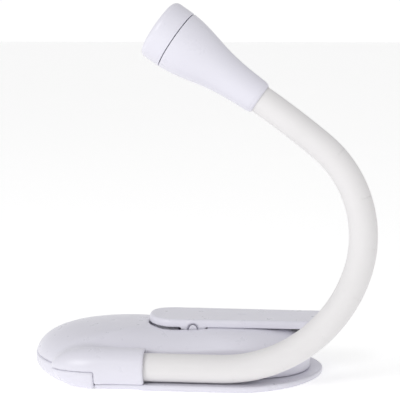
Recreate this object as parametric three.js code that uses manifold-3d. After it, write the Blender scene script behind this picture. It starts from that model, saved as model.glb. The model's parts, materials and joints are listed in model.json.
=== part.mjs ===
// A clip-on reading lamp: a battery base that is also the lower jaw of a sprung clip, a bendable neck that leaves
// a socket along the base's near side, and a small spot head.
// Millimetres, +Z up. The origin lies on the base's flat underside, halfway along it and under the clip's centre line.
// +X runs along the base towards the clip's gripping end, and the neck lies on the -Y side.
import * as THREE from 'three';
import { mergeVertices } from 'three/addons/utils/BufferGeometryUtils.js';
import Module from 'manifold-3d';

const wasm = await Module();
wasm.setup();

// ---------------------------------------------------------------- driving dimensions
const GAP = 0.3; // the clearance between touching pieces
const WALL = 1.8; // housing wall
const EPS = 0.01; // how far a cutting solid reaches past a face it opens

// base
const BASE_LENGTH = 107;
const NEAR_HALF = 32; // from the clip's centre line to the edge on the neck's side
const FAR_HALF = 27; // and to the other edge
const BASE_HEIGHT = 17.9;
const PLATE = 2.0; // the base plate's thickness, which is the floor of the neck's channel
const SEAM_HEIGHT = 6.6; // upper edge of the battery cover
const SHOULDER = 5; // where the top housing's sides stop being upright
const LEFT_END = 28; // length of the plan's rounded left end
const RIGHT_END = 30; // length of the plan's rounded right end
const END_POWER = 1.8; // 2 would make the ends true half ellipses
const RIM = 4.6; // plate left bare at the right tip
const CORE_HALF_WIDTH = 25.1; // where the top's crown would reach the plate's level on the near side
const COVER_SEAM_X = -26.7;

// neck
const NECK_R = 5.0;
const NECK_Z = PLATE + 0.25 + NECK_R;
const NECK_INSET = 4.8; // the neck's axis in from the plate's edge
const NECK_Y = -NEAR_HALF + NECK_INSET;
const SOCKET_X = -9.1; // face of the socket
const SOCKET_CLEAR = 0.35;
const SOCKET_DEPTH = 11;
const BARREL_WALL = 1.8;
const BARREL_R = NECK_R + BARREL_WALL;
const NECK_LEAN = 4; // degrees that the bent neck leans back
const CORE_R = 1.5; // annealed steel wire that holds the bend
const BORE_R = 1.9; // the sleeve's bore
const NECK_STRAIGHT = 26.7;
const NECK_BENDS = [ // each arc's radius and its sweep in degrees
  [49.6, 73.2],
  [41.1, 67.6],
  [325, 4.6],
];
const JOINT_COUNT = 10;
const FIRST_JOINT = 6; // along the neck, from the socket's face
const JOINT_GAP = 0.3; // between a joint's ball and its cup

// clip
const PIVOT_X = 6.3;
const PIVOT_Z = 17.3;
const PIN_R = 1.1;
const PIN_HEAD_R = 1.45;
const CLIP_LEFT = -10.7;
const CLIP_OVERHANG = 3.5; // how far the gripping end passes the base's tip
const CLIP_RIGHT = BASE_LENGTH / 2 + CLIP_OVERHANG;
const CLIP_HALF_WIDTH = 10.6;
const CLIP_TAPER = 1.0; // how much narrower each side is at the gripping end
const CLIP_THICK = 2.9;
const CLIP_ROOF = 1.2;
const CLIP_SKIRT = 1.5;
const CLIP_TURN_UP = 0.6; // the thumb end's lift
const EAR_WIDTH = 9;
const EAR_THICK = 2.0;
const EAR_R = 3.2;
const LUG_THICK = 1.8;
const LUG_R = 1.9;
const CLIP_OPENING = 10; // degrees

// head, measured along its axis from the neck's end
const HEAD_SEAM = 35.7;
const HEAD_LENGTH = 43.8;
const HEAD_SEAM_R = 10.85;
const HEAD_WALL = 1.4;
const HEAD_PROFILE = [ // distance from the neck's end, radius
  [0.5, NECK_R + 0.75],
  [2.2, NECK_R + 1.1],
  [8, NECK_R + 1.4],
  [14, NECK_R + 1.95],
  [19.5, NECK_R + 2.9],
  [25, 9.2],
  [30.5, 10.35],
];
const BEZEL_R = 10.95;
const BEZEL_CORNER = 2.2;
const LENS_R = 8.6;

// batteries and electrics
const CELL_R = 5.25;
const CELL_LENGTH = 44.5;
const CELL_PITCH = 11.3;
const CELL_LEFT = -37.5;
const CELL_COUNT = 3;
const CELL_MID_Y = 1.0;
const TONGUE = 1.2; // thickness of the battery cover's floor
const TONGUE_END = -4;
const TONGUE_HALF_WIDTH = 19;
const CELL_Z = TONGUE + 0.25 + CELL_R;

// fasteners
const SCREW_R = 1.0;
const SCREW_HEAD_R = 2.0;
const SCREW_LENGTH = 7;
const BOSS_R = 2.6;

// ---------------------------------------------------------------- finishes
const finish = (color, roughness, metalness = 0) => new THREE.MeshStandardMaterial({ color, roughness, metalness });
const GLOSS_WHITE = finish(0xe6e4ef, 0.28);
const SOFT_WHITE = finish(0xefedee, 0.75);
const STEEL = finish(0x9a9ca0, 0.35, 1);
const NICKEL = finish(0xb8b6ae, 0.3, 1);
const BLACK_RUBBER = finish(0x2a2b2d, 0.8);
const GREEN_BOARD = finish(0x1f5a3a, 0.5);
const CELL_JACKET = finish(0x3c5f8a, 0.4);
const CLEAR = finish(0xf4f8fb, 0.05);
const CHROME = finish(0xe8e8ea, 0.08, 1);
const PHOSPHOR = finish(0xf2d65a, 0.5);
const RED_WIRE = finish(0xb8302a, 0.5);
const BLACK_WIRE = finish(0x1d1d1f, 0.5);

// ---------------------------------------------------------------- solids
const deg = THREE.MathUtils.degToRad;

function toSolid(geometry) {
  const g = geometry.clone();
  g.deleteAttribute('normal');
  g.deleteAttribute('uv');
  const merged = mergeVertices(g, 1e-4);
  const mesh = new wasm.Mesh({
    numProp: 3,
    vertProperties: new Float32Array(merged.attributes.position.array),
    triVerts: new Uint32Array(merged.index.array),
  });
  return new wasm.Manifold(mesh);
}

function toGeometry(solid) {
  const mesh = solid.getMesh();
  const g = new THREE.BufferGeometry();
  g.setAttribute('position', new THREE.BufferAttribute(new Float32Array(mesh.vertProperties), 3));
  g.setIndex(new THREE.BufferAttribute(new Uint32Array(mesh.triVerts), 1));
  g.computeVertexNormals();
  return g;
}

const join = (...solids) => solids.reduce((a, b) => a.add(b));
const cut = (solid, ...tools) => tools.reduce((a, b) => a.subtract(b), solid);

function box(x0, x1, y0, y1, z0, z1) {
  const g = new THREE.BoxGeometry(x1 - x0, y1 - y0, z1 - z0);
  g.translate((x0 + x1) / 2, (y0 + y1) / 2, (z0 + z1) / 2);
  return toSolid(g);
}

// Turns a profile of [distance along the axis, radius] points about an axis through `at`.
function turned(profile, at, direction, sides = 24) {
  const g = new THREE.LatheGeometry(profile.map(([along, r]) => new THREE.Vector2(Math.max(r, 0), along)), sides);
  const spin = new THREE.Quaternion().setFromUnitVectors(new THREE.Vector3(0, 1, 0), direction.clone().normalize());
  g.applyQuaternion(spin);
  g.translate(at.x, at.y, at.z);
  const solid = toSolid(g);
  if (solid.volume() > 0) return solid;
  // a profile that runs the other way comes out inside out
  const flipped = new THREE.LatheGeometry(
    [...profile].reverse().map(([along, r]) => new THREE.Vector2(Math.max(r, 0), along)), sides);
  flipped.applyQuaternion(spin);
  flipped.translate(at.x, at.y, at.z);
  return toSolid(flipped);
}

const X_AXIS = new THREE.Vector3(1, 0, 0);
const Y_AXIS = new THREE.Vector3(0, 1, 0);
const Z_AXIS = new THREE.Vector3(0, 0, 1);
const vec = (x, y, z) => new THREE.Vector3(x, y, z);

// A round bar from one distance to another along an axis.
function bar(r, from, to, at, direction, sides = 24) {
  return turned([[from, 0], [from, r], [to, r], [to, 0]], at, direction, sides);
}

// A round tube, open at both ends.
function pipe(outer, inner, from, to, at, direction, sides = 24) {
  return turned([[from, inner], [from, outer], [to, outer], [to, inner], [from, inner]], at, direction, sides);
}

// Skins a stack of outlines, each a ring of the same number of points, and closes both ends.
function lofted(rings) {
  const n = rings[0].length;
  const points = [];
  const faces = [];
  rings.forEach((ring) => ring.forEach((p) => points.push(...p)));
  for (let k = 0; k + 1 < rings.length; k += 1) {
    for (let j = 0; j < n; j += 1) {
      const a = k * n + j;
      const b = k * n + ((j + 1) % n);
      faces.push(a, b, b + n, a, b + n, a + n);
    }
  }
  const middle = (ring) => ring.reduce((s, p) => s.map((v, i) => v + p[i] / n), [0, 0, 0]);
  points.push(...middle(rings[0]), ...middle(rings[rings.length - 1]));
  const low = rings.length * n;
  const top = (rings.length - 1) * n;
  for (let j = 0; j < n; j += 1) {
    faces.push(low, (j + 1) % n, j);
    faces.push(low + 1, top + j, top + ((j + 1) % n));
  }
  const g = new THREE.BufferGeometry();
  g.setAttribute('position', new THREE.Float32BufferAttribute(points, 3));
  g.setIndex(faces);
  return toSolid(g);
}

// Raises a closed outline of [x, y] points from one height to another.
function slab(outline, z0, z1) {
  return lofted([z0, z1].map((z) => outline.map(([x, y]) => [x, y, z])));
}

// ---------------------------------------------------------------- the base's outlines
const HALF = BASE_LENGTH / 2;
const smooth = (t) => {
  const u = Math.min(Math.max(t, 0), 1);
  return u * u * (3 - 2 * u);
};

// The plan of the base, counter-clockwise from the right tip: straight sides between two rounded ends.
// `near` and `far` are half widths, and each may be a function of x.
function plan({ near, far, left = -HALF, right = HALF, inset = 0, steps = 8 }) {
  const width = (w, x) => (typeof w === 'function' ? w(x) : w) - inset;
  const end = (tip, reach, x) => (1 - (Math.abs(x - (tip - reach)) / Math.abs(reach)) ** END_POWER) ** (1 / END_POWER);
  const xs = [];
  for (let i = 0; i <= steps; i += 1) {
    xs.push(right - inset - (RIGHT_END - inset) * (1 - Math.cos((Math.PI / 2) * (i / steps))));
  }
  const straightFrom = xs[xs.length - 1];
  const straightTo = left + LEFT_END;
  const stations = Math.round((straightFrom - straightTo) / 12);
  for (let i = 1; i < stations; i += 1) xs.push(straightFrom + ((straightTo - straightFrom) * i) / stations);
  for (let i = steps; i >= 0; i -= 1) {
    xs.push(left + inset + (LEFT_END - inset) * (1 - Math.cos((Math.PI / 2) * (i / steps))));
  }
  const spread = (x) => {
    if (x > straightFrom) return end(right - inset, RIGHT_END - inset, x) || 0;
    if (x < straightTo) return end(left + inset, -(LEFT_END - inset), x) || 0;
    return 1;
  };
  const farSide = xs.map((x) => [x, width(far, x) * spread(x)]);
  const nearSide = xs.slice(1, -1).reverse().map((x) => [x, -width(near, x) * spread(x)]);
  return [...farSide, ...nearSide];
}

// The lower part of a moulding: upright sides on rounded lower edges, whose reach and height depend on the place.
function lowerBody(outline, height, roundAt) {
  const turns = [0, 30, 60, 90];
  const rings = turns.map((t) => outline.map(([x, y]) => {
    const { across, up } = roundAt(x, y);
    const shrink = across * (1 - Math.sin(deg(t)));
    const scale = 1 - shrink / Math.hypot(x, y);
    return [x * scale, y * scale, up * (1 - Math.cos(deg(t)))];
  }));
  rings.push(outline.map(([x, y]) => [x, y, height]));
  return lofted(rings);
}

// The crown over an outline: it rises upright from `floor` to `shoulder`, and then rolls over to `top`.
// The power says how square the roll is in the direction of each point of the outline.
function crown(outline, floor, shoulder, top, powerAt) {
  const rolls = [0, 14, 28, 42, 56, 70];
  const rings = [outline.map(([x, y]) => [x, y, floor])];
  rolls.forEach((roll) => {
    rings.push(outline.map(([x, y]) => {
      const scale = Math.cos(deg(roll)) ** (2 / powerAt(x, y));
      return [x * scale, y * scale, shoulder + (top - shoulder) * Math.sin(deg(roll))];
    }));
  });
  rings.push(outline.map(([x, y]) => {
    const scale = 0.12;
    return [x * scale, y * scale, top];
  }));
  return lofted(rings);
}

function crownPower(x, y) {
  const along = (x / HALF) ** 2;
  const across = (y / NEAR_HALF) ** 2;
  const ends = x > 0 ? 9 : 5.0;
  const sides = y < 0 ? 2.64 : 1.7;
  return (ends * along + sides * across) / (along + across);
}

// On the near side the crown is narrower, to leave the neck's channel, and widens to the full base at the left end.
const crownNear = (x) => CORE_HALF_WIDTH + (NEAR_HALF - CORE_HALF_WIDTH) * smooth((-28 - x) / 18);
const lowerRound = (x, y) => {
  const left = smooth((-28 - x) / 20);
  const socket = y < 0 ? 1.6 * smooth((SOCKET_X - x) / 3) : 0;
  return { across: 0.4 + Math.max(6.5 * left, socket), up: 0.4 + Math.max(3.8 * left, socket) };
};

const EDGE = NEAR_HALF;
const plateOutline = plan({ near: NEAR_HALF, far: FAR_HALF });
const crownOutline = (inset = 0) => plan({ near: crownNear, far: FAR_HALF, right: HALF - RIM + 2.6, inset });

// The wall that the top housing shows to the channel: straight beside the neck, then round the right end.
function wallOutline(inset = 0) {
  const tip = HALF - RIM;
  const reach = 28.9;
  const start = tip - reach;
  const nearWall = EDGE - 2 * NECK_R - inset;
  const farWall = FAR_HALF + 5;
  const steps = 9;
  const points = [[-HALF - 10, -nearWall], [-HALF - 10, farWall], [start, farWall]];
  for (let i = 1; i < 2 * steps; i += 1) {
    const angle = Math.PI / 2 - (Math.PI * i) / (2 * steps);
    const side = Math.sign(Math.sin(angle));
    const width = side > 0 ? farWall - 3 * (i / steps) : nearWall;
    points.push([
      start + (reach - inset) * Math.cos(angle) ** (2 / 2.3),
      side * width * Math.abs(Math.sin(angle)) ** (2 / 2.3),
    ]);
  }
  points.push([start, -nearWall]);
  return points.reverse();
}

// Everything outside the wall, right of the socket's face: the space that the channel takes from the crown.
function channel(inset = 0) {
  const space = box(SOCKET_X - inset, HALF + 10, -EDGE - 10, EDGE + 10, -5, BASE_HEIGHT + 20);
  return cut(space, slab(wallOutline(inset), -6, BASE_HEIGHT + 21));
}

const onNeckAxis = (x) => vec(x, NECK_Y, NECK_Z);
const BARREL_LEFT = -26.5; // where the barrel starts to round off
const BARREL_CAP = 16;

// The socket's barrel: a cylinder round the neck's axis that ends in half an ellipsoid on the left.
function barrel(inset = 0) {
  const r = BARREL_R - inset;
  const profile = [];
  for (let i = 0; i <= 6; i += 1) {
    const a = (Math.PI / 2) * (i / 6);
    profile.push([-(BARREL_CAP - inset) * Math.cos(a), r * Math.sin(a)]);
  }
  profile.push([SOCKET_X - BARREL_LEFT, r], [SOCKET_X - BARREL_LEFT, 0]);
  return turned(profile, onNeckAxis(BARREL_LEFT), X_AXIS, 28);
}

// The low shoulder that fills in under the barrel.
function shoulder(inset = 0) {
  const outline = plan({ near: NEAR_HALF, far: FAR_HALF, inset });
  const solid = crown(outline, -1, SHOULDER - inset, SHOULDER + 5 - inset, () => 6);
  return cut(solid, box(SOCKET_X, HALF + 9, -EDGE - 9, EDGE + 9, -5, BASE_HEIGHT));
}

// ---------------------------------------------------------------- top housing
const T_FLOOR = PLATE + GAP;
const CLIP_Z = BASE_HEIGHT; // the clip's skirts stand level with the crown
const SCREW_PLACES = [
  [16, -16.5],
  [40, -5],
  [34, 16.5],
  [2, 21.4],
];
const WELL = {
  x: EAR_WIDTH / 2 + 0.6,
  y: CLIP_HALF_WIDTH + 0.4,
  floor: PIVOT_Z - EAR_R - 0.5,
};

function wellAndPocket() {
  const well = box(PIVOT_X - WELL.x, PIVOT_X + WELL.x, -WELL.y, WELL.y, WELL.floor, BASE_HEIGHT + 9);
  // the pocket that the thumb end sinks into: its floor falls away to the left
  const reach = PIVOT_X - CLIP_LEFT;
  const drop = reach * Math.tan(deg(CLIP_OPENING)) + GAP - CLIP_TURN_UP + 0.4;
  const plate = clipPlan(0.6, false);
  const floorAt = (x) => BASE_HEIGHT - drop * Math.min(Math.max((PIVOT_X - x) / reach, 0), 1.05) - 0.2;
  const pocket = lofted([
    plate.map(([x, y]) => [x, y, floorAt(x)]),
    plate.map(([x, y]) => [x, y, BASE_HEIGHT + 9]),
  ]);
  const leftHalf = box(-HALF, PIVOT_X, -EDGE, EDGE, 0, BASE_HEIGHT + 9);
  return join(well, pocket.intersect(leftHalf));
}

function topHousing() {
  const outside = join(
    crown(crownOutline(), T_FLOOR, SHOULDER, BASE_HEIGHT, crownPower),
    barrel(),
    shoulder(),
  );
  const shell = cut(outside, channel());
  // the hollow stays a wall away from the outside, the channel, the socket and the clip's well
  const solidUnderWell = box(-13, 13, -WELL.y - WALL, WELL.y + WALL, WELL.floor - 1, BASE_HEIGHT);
  const collar = bar(BARREL_R, -SOCKET_DEPTH - 2.5, 0.1, onNeckAxis(SOCKET_X), X_AXIS, 28);
  const hollow = cut(
    join(
      crown(crownOutline(WALL), -2, SHOULDER - 1, BASE_HEIGHT - WALL, crownPower),
      barrel(WALL),
      shoulder(WALL),
    ),
    channel(WALL),
    solidUnderWell,
    collar,
  );
  const socketBore = bar(NECK_R + SOCKET_CLEAR, -SOCKET_DEPTH, 1, onNeckAxis(SOCKET_X), X_AXIS, 28);
  const coreHole = bar(BORE_R + 0.4, -SOCKET_DEPTH - 6, 1, onNeckAxis(SOCKET_X), X_AXIS, 14);
  const belowFloor = box(-HALF - 9, HALF + 9, -EDGE - 9, EDGE + 9, -9, T_FLOOR);
  const coverSpace = box(-HALF - 9, COVER_SEAM_X + GAP / 2, -EDGE - 9, EDGE + 9, -9, SEAM_HEIGHT + GAP);
  const knobSlot = box(SWITCH.x - 5.2, SWITCH.x + 5.2, FAR_HALF - 6, FAR_HALF + 2, SWITCH.z - 1.6, SWITCH.z + 1.6);
  let housing = cut(shell, hollow, socketBore, coreHole, belowFloor, coverSpace, wellAndPocket(), knobSlot);
  // bosses that take the screws, and the ribs that hold the battery contacts
  const inside = cut(crown(crownOutline(0.8), T_FLOOR, SHOULDER, BASE_HEIGHT - 0.8, crownPower), channel(0.8));
  SCREW_PLACES.forEach(([x, y]) => {
    const boss = bar(BOSS_R, T_FLOOR, BASE_HEIGHT, vec(x, y, 0), Z_AXIS, 14).intersect(inside);
    const pilot = bar(SCREW_R + 0.15, 0, PLATE + SCREW_LENGTH + 1, vec(x, y, 0), Z_AXIS, 14);
    housing = cut(join(housing, boss), pilot);
  });
  const rightRib = box(CONTACT.right + 1.0, CONTACT.right + 2.4, -13, 18, CELL_Z + 1, WELL.floor).intersect(inside);
  const leftRib = box(CONTACT.left - 2.4, CONTACT.left - 1.0, -11, 16, SEAM_HEIGHT + 1, BASE_HEIGHT).intersect(inside);
  housing = join(housing, rightRib, leftRib);
  // lugs that carry the clip's pin
  const pinHole = bar(PIN_R + 0.3, -20, 20, vec(PIVOT_X, 0, PIVOT_Z), Y_AXIS, 16);
  [-1, 1].forEach((side) => {
    const inner = CLIP_HALF_WIDTH - EAR_THICK - 0.5;
    const [a, b] = [side * (inner - LUG_THICK), side * inner].sort((p, q) => p - q);
    const post = box(PIVOT_X - LUG_R, PIVOT_X + LUG_R, a, b, WELL.floor - EPS, PIVOT_Z);
    const eye = bar(LUG_R, a, b, vec(PIVOT_X, 0, PIVOT_Z), Y_AXIS, 16);
    housing = join(housing, cut(join(post, eye), pinHole));
  });
  return housing;
}

// ---------------------------------------------------------------- bottom housing and battery cover
const wholeLower = () => lowerBody(plateOutline, SEAM_HEIGHT, lowerRound);
const coverSide = (edge) => box(-HALF - 9, edge, -EDGE - 9, EDGE + 9, -1, SEAM_HEIGHT + 1);

function tongue(clear = 0) {
  const y0 = CELL_MID_Y - TONGUE_HALF_WIDTH - clear;
  const y1 = CELL_MID_Y + TONGUE_HALF_WIDTH + clear;
  return box(COVER_SEAM_X - 3, TONGUE_END + clear, y0, y1, -clear, TONGUE + clear);
}

function bottomHousing() {
  let plate = wholeLower().intersect(
    box(COVER_SEAM_X + GAP / 2, HALF + 9, -EDGE - 9, EDGE + 9, -1, PLATE));
  const loading = box(COVER_SEAM_X - 3, TONGUE_END - 2, CELL_MID_Y - TONGUE_HALF_WIDTH + 1.6,
    CELL_MID_Y + TONGUE_HALF_WIDTH - 1.6, -1, PLATE + 1);
  // the right ends of the cells lie in a recess beyond the opening
  const recess = box(TONGUE_END - 2, CELL_LEFT + CELL_LENGTH + 1, CELL_MID_Y - TONGUE_HALF_WIDTH + 1.6,
    CELL_MID_Y + TONGUE_HALF_WIDTH - 1.6, TONGUE, PLATE + 1);
  plate = cut(plate, tongue(GAP), loading, recess);
  // a lip that stands inside the top housing and locates it, left open where the cells and screws go
  const lipTop = PLATE + 2.2;
  const inner = WALL + GAP;
  const lipOf = (inset) => cut(slab(crownOutline(inset), PLATE - EPS, lipTop), channel(inset));
  let lip = cut(lipOf(inner), cut(slab(crownOutline(inner + 1.2), PLATE - 1, lipTop + 1), channel(inner + 1.2)));
  lip = lip.intersect(box(TONGUE_END + 6, HALF, -EDGE, EDGE, 0, lipTop + 1));
  plate = join(plate, lip);
  SCREW_PLACES.forEach(([x, y]) => {
    const hole = turned([
      [-1, 0], [-1, SCREW_HEAD_R + 0.3], [0.9, SCREW_HEAD_R + 0.3], [0.9, SCREW_R + 0.3],
      [PLATE + 9, SCREW_R + 0.3], [PLATE + 9, 0],
    ], vec(x, y, 0), Z_AXIS, 16);
    const bossRoom = bar(BOSS_R + GAP, PLATE + EPS, PLATE + 9, vec(x, y, 0), Z_AXIS, 16);
    plate = cut(plate, hole, bossRoom);
  });
  return plate;
}

function batteryCover() {
  const outside = wholeLower().intersect(coverSide(COVER_SEAM_X - GAP / 2));
  // the wall is thicker at the left tip, where the lower edge is well rounded
  const hollowOutline = plan({ near: NEAR_HALF, far: FAR_HALF, left: -HALF + 3, inset: WALL });
  const hollow = slab(hollowOutline, TONGUE, SEAM_HEIGHT + 9);
  const shell = cut(outside, hollow);
  const floor = cut(tongue(), box(-HALF, COVER_SEAM_X - 4, -EDGE, EDGE, -1, 9));
  return join(shell, floor);
}

// ---------------------------------------------------------------- cells, contacts, board and switch
const cellY = (i) => CELL_MID_Y + (i - (CELL_COUNT - 1) / 2) * CELL_PITCH;
const CELL_RIGHT = CELL_LEFT + CELL_LENGTH;
const CONTACT = { left: CELL_LEFT - 3.0, right: CELL_RIGHT + 3.0, thick: 0.4, half: 3.3 };
const SWITCH = { x: 22, z: 7.6, travel: 3 };
const BOARD = { x0: 15, x1: 36, y0: -10, y1: 12, z: 4.6, thick: 1.2 };

// A cell lies along X with its positive button at +X or -X.
function cell(i, facing) {
  const mid = (CELL_LEFT + CELL_RIGHT) / 2;
  const half = CELL_LENGTH / 2;
  const profile = [
    [-half + 0.2, 0], [-half + 0.2, 4.4], [-half + 0.5, CELL_R], [half - 1.6, CELL_R],
    [half - 1.2, 4.4], [half - 1.2, 1.9], [half, 1.9], [half, 0],
  ];
  return turned(profile, vec(mid, cellY(i), CELL_Z), vec(facing, 0, 0), 16);
}

// A flat contact plate that stands behind the ends of one or two cells.
function contactPlate(side, from, to) {
  const x = side < 0 ? CONTACT.left : CONTACT.right;
  const y0 = cellY(from) - CONTACT.half;
  const y1 = cellY(to) + CONTACT.half;
  return box(x - CONTACT.thick / 2, x + CONTACT.thick / 2, y0, y1, CELL_Z - CONTACT.half, CELL_Z + CONTACT.half - 0.5);
}

class Helix extends THREE.Curve {
  constructor(turns, length, r0, r1, start = 0) {
    super();
    Object.assign(this, { turns, length, r0, r1, start });
  }

  getPoint(t, target = new THREE.Vector3()) {
    const a = this.start + t * this.turns * 2 * Math.PI;
    const r = this.r0 + (this.r1 - this.r0) * t;
    return target.set(t * this.length, r * Math.cos(a), r * Math.sin(a));
  }
}

function wire(curve, r, steps, sides = 6) {
  const section = new THREE.Shape();
  for (let i = 0; i < sides; i += 1) {
    const a = (i / sides) * 2 * Math.PI;
    if (i === 0) section.moveTo(r * Math.cos(a), r * Math.sin(a));
    else section.lineTo(r * Math.cos(a), r * Math.sin(a));
  }
  section.closePath();
  return new THREE.ExtrudeGeometry(section, { steps, extrudePath: curve, bevelEnabled: false });
}

// The tapered spring that presses on a cell's negative end.
function contactSpring(i, side) {
  const wireR = 0.3;
  const start = (side < 0 ? CONTACT.left : CONTACT.right) - side * (CONTACT.thick / 2 + wireR + GAP);
  const end = (side < 0 ? CELL_LEFT + 0.2 : CELL_RIGHT - 0.2) + side * (wireR + GAP);
  const g = wire(new Helix(3, Math.abs(end - start), 3.2, 1.9), wireR, 27, 5);
  g.rotateZ(side < 0 ? 0 : Math.PI);
  g.translate(start, cellY(i), CELL_Z);
  return g;
}

function board() {
  return box(BOARD.x0, BOARD.x1, BOARD.y0, BOARD.y1, BOARD.z, BOARD.z + BOARD.thick);
}
const BOARD_TOP = BOARD.z + BOARD.thick + GAP;

function switchBody() {
  const y1 = BOARD.y1 + 6;
  const body = box(SWITCH.x - 4.5, SWITCH.x + 4.5, BOARD.y1 - 3, y1, BOARD_TOP, BOARD_TOP + 3.6);
  const slot = box(SWITCH.x - 3.2, SWITCH.x + 3.2, y1 - 1.4, y1 + 1, SWITCH.z - 0.9, SWITCH.z + 0.9);
  return cut(body, slot);
}

// The knob stands on the far wall, and its stem reaches through the slot to the switch.
function switchKnob() {
  const x = SWITCH.x - SWITCH.travel / 2;
  const outside = FAR_HALF + 0.1;
  const stem = box(x - 1.0, x + 1.0, BOARD.y1 + 5.1, outside + 0.3, SWITCH.z - 0.6, SWITCH.z + 0.6);
  const guide = box(x - 1.7, x + 1.7, FAR_HALF - 2.6, outside + 0.3, SWITCH.z - 1.3, SWITCH.z + 1.3);
  const pad = box(x - 3.0, x + 3.0, outside, outside + 1.5, SWITCH.z - 1.9, SWITCH.z + 1.9);
  const grips = [-1.5, 0, 1.5].map((dx) => box(x + dx - 0.3, x + dx + 0.3, outside + 1.1, outside + 2, 0, 20));
  return cut(join(stem, guide, pad), ...grips);
}

function resistor() {
  return bar(1.1, -3.2, 3.2, vec(21, -4, BOARD_TOP + 1.1), X_AXIS, 12);
}

// A lead through points given in its own order.
function lead(points, r = 0.55) {
  const curve = new THREE.CatmullRomCurve3(points.map((p) => vec(...p)), false, 'centripetal');
  return wire(curve, r, 16, 6);
}

// ---------------------------------------------------------------- clip
// The clip's plan: a rounded thumb end, sides that draw in towards the gripping end, and rounded corners there.
function clipPlan(grow = 0, wholeLength = true) {
  const halfAt = (x) => {
    const t = (x - PIVOT_X) / (CLIP_RIGHT - PIVOT_X);
    return CLIP_HALF_WIDTH + grow - CLIP_TAPER * Math.max(t, 0);
  };
  const left = CLIP_LEFT - grow;
  const right = wholeLength ? CLIP_RIGHT + grow : PIVOT_X + 4;
  const thumb = 9.5 + grow;
  const corner = 5 + grow;
  const farSide = [];
  for (let i = 0; i <= 6; i += 1) {
    const a = (Math.PI / 2) * (i / 6);
    const y = halfAt(right) - corner + corner * Math.sin(a);
    farSide.push([right - corner + corner * Math.cos(a), y]);
  }
  farSide.push([PIVOT_X, halfAt(PIVOT_X)]);
  for (let i = 8; i >= 1; i -= 1) {
    const a = (Math.PI / 2) * (i / 8);
    farSide.push([left + thumb * (1 - Math.cos(a)), halfAt(left) * Math.sin(a) ** 0.85]);
  }
  const nearSide = farSide.map(([x, y]) => [x, -y]).reverse();
  return [...farSide, [left, 0], ...nearSide];
}

const turnUp = (x) => CLIP_TURN_UP * Math.min(Math.max((-1 - x) / (-1 - CLIP_LEFT), 0), 1.1) ** 2;

function clipSolid(grow, z0, z1, fillet) {
  const layer = (z, inset) => clipPlan(grow - inset).map(([x, y]) => [x, y, z + turnUp(x)]);
  const rings = [layer(z0, 0)];
  if (fillet > 0) {
    [0, 30, 60, 90].forEach((t) => {
      rings.push(layer(z1 - fillet * (1 - Math.sin(deg(t))), fillet * (1 - Math.cos(deg(t)))));
    });
  } else {
    rings.push(layer(z1, 0));
  }
  return lofted(rings);
}

function clipLever() {
  let clip = clipSolid(0, CLIP_Z, CLIP_Z + CLIP_THICK, 1.3);
  clip = cut(clip, clipSolid(-CLIP_SKIRT, CLIP_Z - 3, CLIP_Z + CLIP_THICK - CLIP_ROOF, 0));
  // solid under the gripping end, for the pad
  const gripBlock = clipSolid(-CLIP_SKIRT + EPS, CLIP_Z + 0.2, CLIP_Z + CLIP_THICK - CLIP_ROOF + EPS, 0)
    .intersect(box(CLIP_RIGHT - 20, CLIP_RIGHT, -EDGE, EDGE, 0, 40));
  clip = join(clip, gripBlock);
  [-1, 1].forEach((side) => {
    const outer = CLIP_HALF_WIDTH - 0.15;
    const [a, b] = [side * (outer - EAR_THICK), side * outer].sort((p, q) => p - q);
    const round = bar(EAR_R, a, b, vec(PIVOT_X, 0, PIVOT_Z), Y_AXIS, 24);
    const root = box(PIVOT_X - EAR_WIDTH / 2, PIVOT_X + EAR_WIDTH / 2, a, b, PIVOT_Z - 0.4, CLIP_Z + 1.5);
    clip = join(clip, round, root);
    // a snug hole for the pin, and a wider recess round its head
    const hole = bar(PIN_R + 0.3, a - 1, b + 1, vec(PIVOT_X, 0, PIVOT_Z), Y_AXIS, 16);
    const [c, d] = [side * (outer - 0.9), side * (outer + 3)].sort((p, q) => p - q);
    const recess = bar(PIN_HEAD_R + 0.65, c, d, vec(PIVOT_X, 0, PIVOT_Z), Y_AXIS, 20);
    clip = cut(clip, hole, recess);
  });
  return clip;
}

function clipPin() {
  const half = CLIP_HALF_WIDTH - 0.25;
  const head = 0.5;
  return turned([
    [-half, 0], [-half, PIN_HEAD_R - 0.3], [-half + 0.3, PIN_HEAD_R], [-half + head, PIN_HEAD_R],
    [-half + head, PIN_R], [half, PIN_R], [half, 0],
  ], vec(PIVOT_X, 0, PIVOT_Z), Y_AXIS, 16);
}

// The torsion spring round the pin, with one leg on the well's floor and one under the thumb end.
function torsionSpring() {
  const coil = { r: 1.75, wire: 0.3, turns: 5, half: 4 };
  const steps = 60;
  const points = [];
  const floor = WELL.floor + coil.wire + GAP;
  points.push(vec(PIVOT_X - 4.2, -coil.half - 0.1, floor));
  for (let i = 0; i <= steps; i += 1) {
    const a = -Math.PI / 2 - (i / steps) * coil.turns * 2 * Math.PI;
    points.push(vec(
      PIVOT_X + coil.r * Math.cos(a),
      -coil.half + (2 * coil.half * i) / steps,
      PIVOT_Z + coil.r * Math.sin(a),
    ));
  }
  points.push(vec(PIVOT_X - 4.2, coil.half + 0.1, PIVOT_Z - coil.r - 0.2));
  const curve = new THREE.CatmullRomCurve3(points, false, 'centripetal');
  return wire(curve, coil.wire, 66, 5);
}

function gripPad() {
  return box(CLIP_RIGHT - 15, CLIP_RIGHT - 7.5, -6.5, 6.5, CLIP_Z - 1.0, CLIP_Z - 0.1);
}

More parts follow.
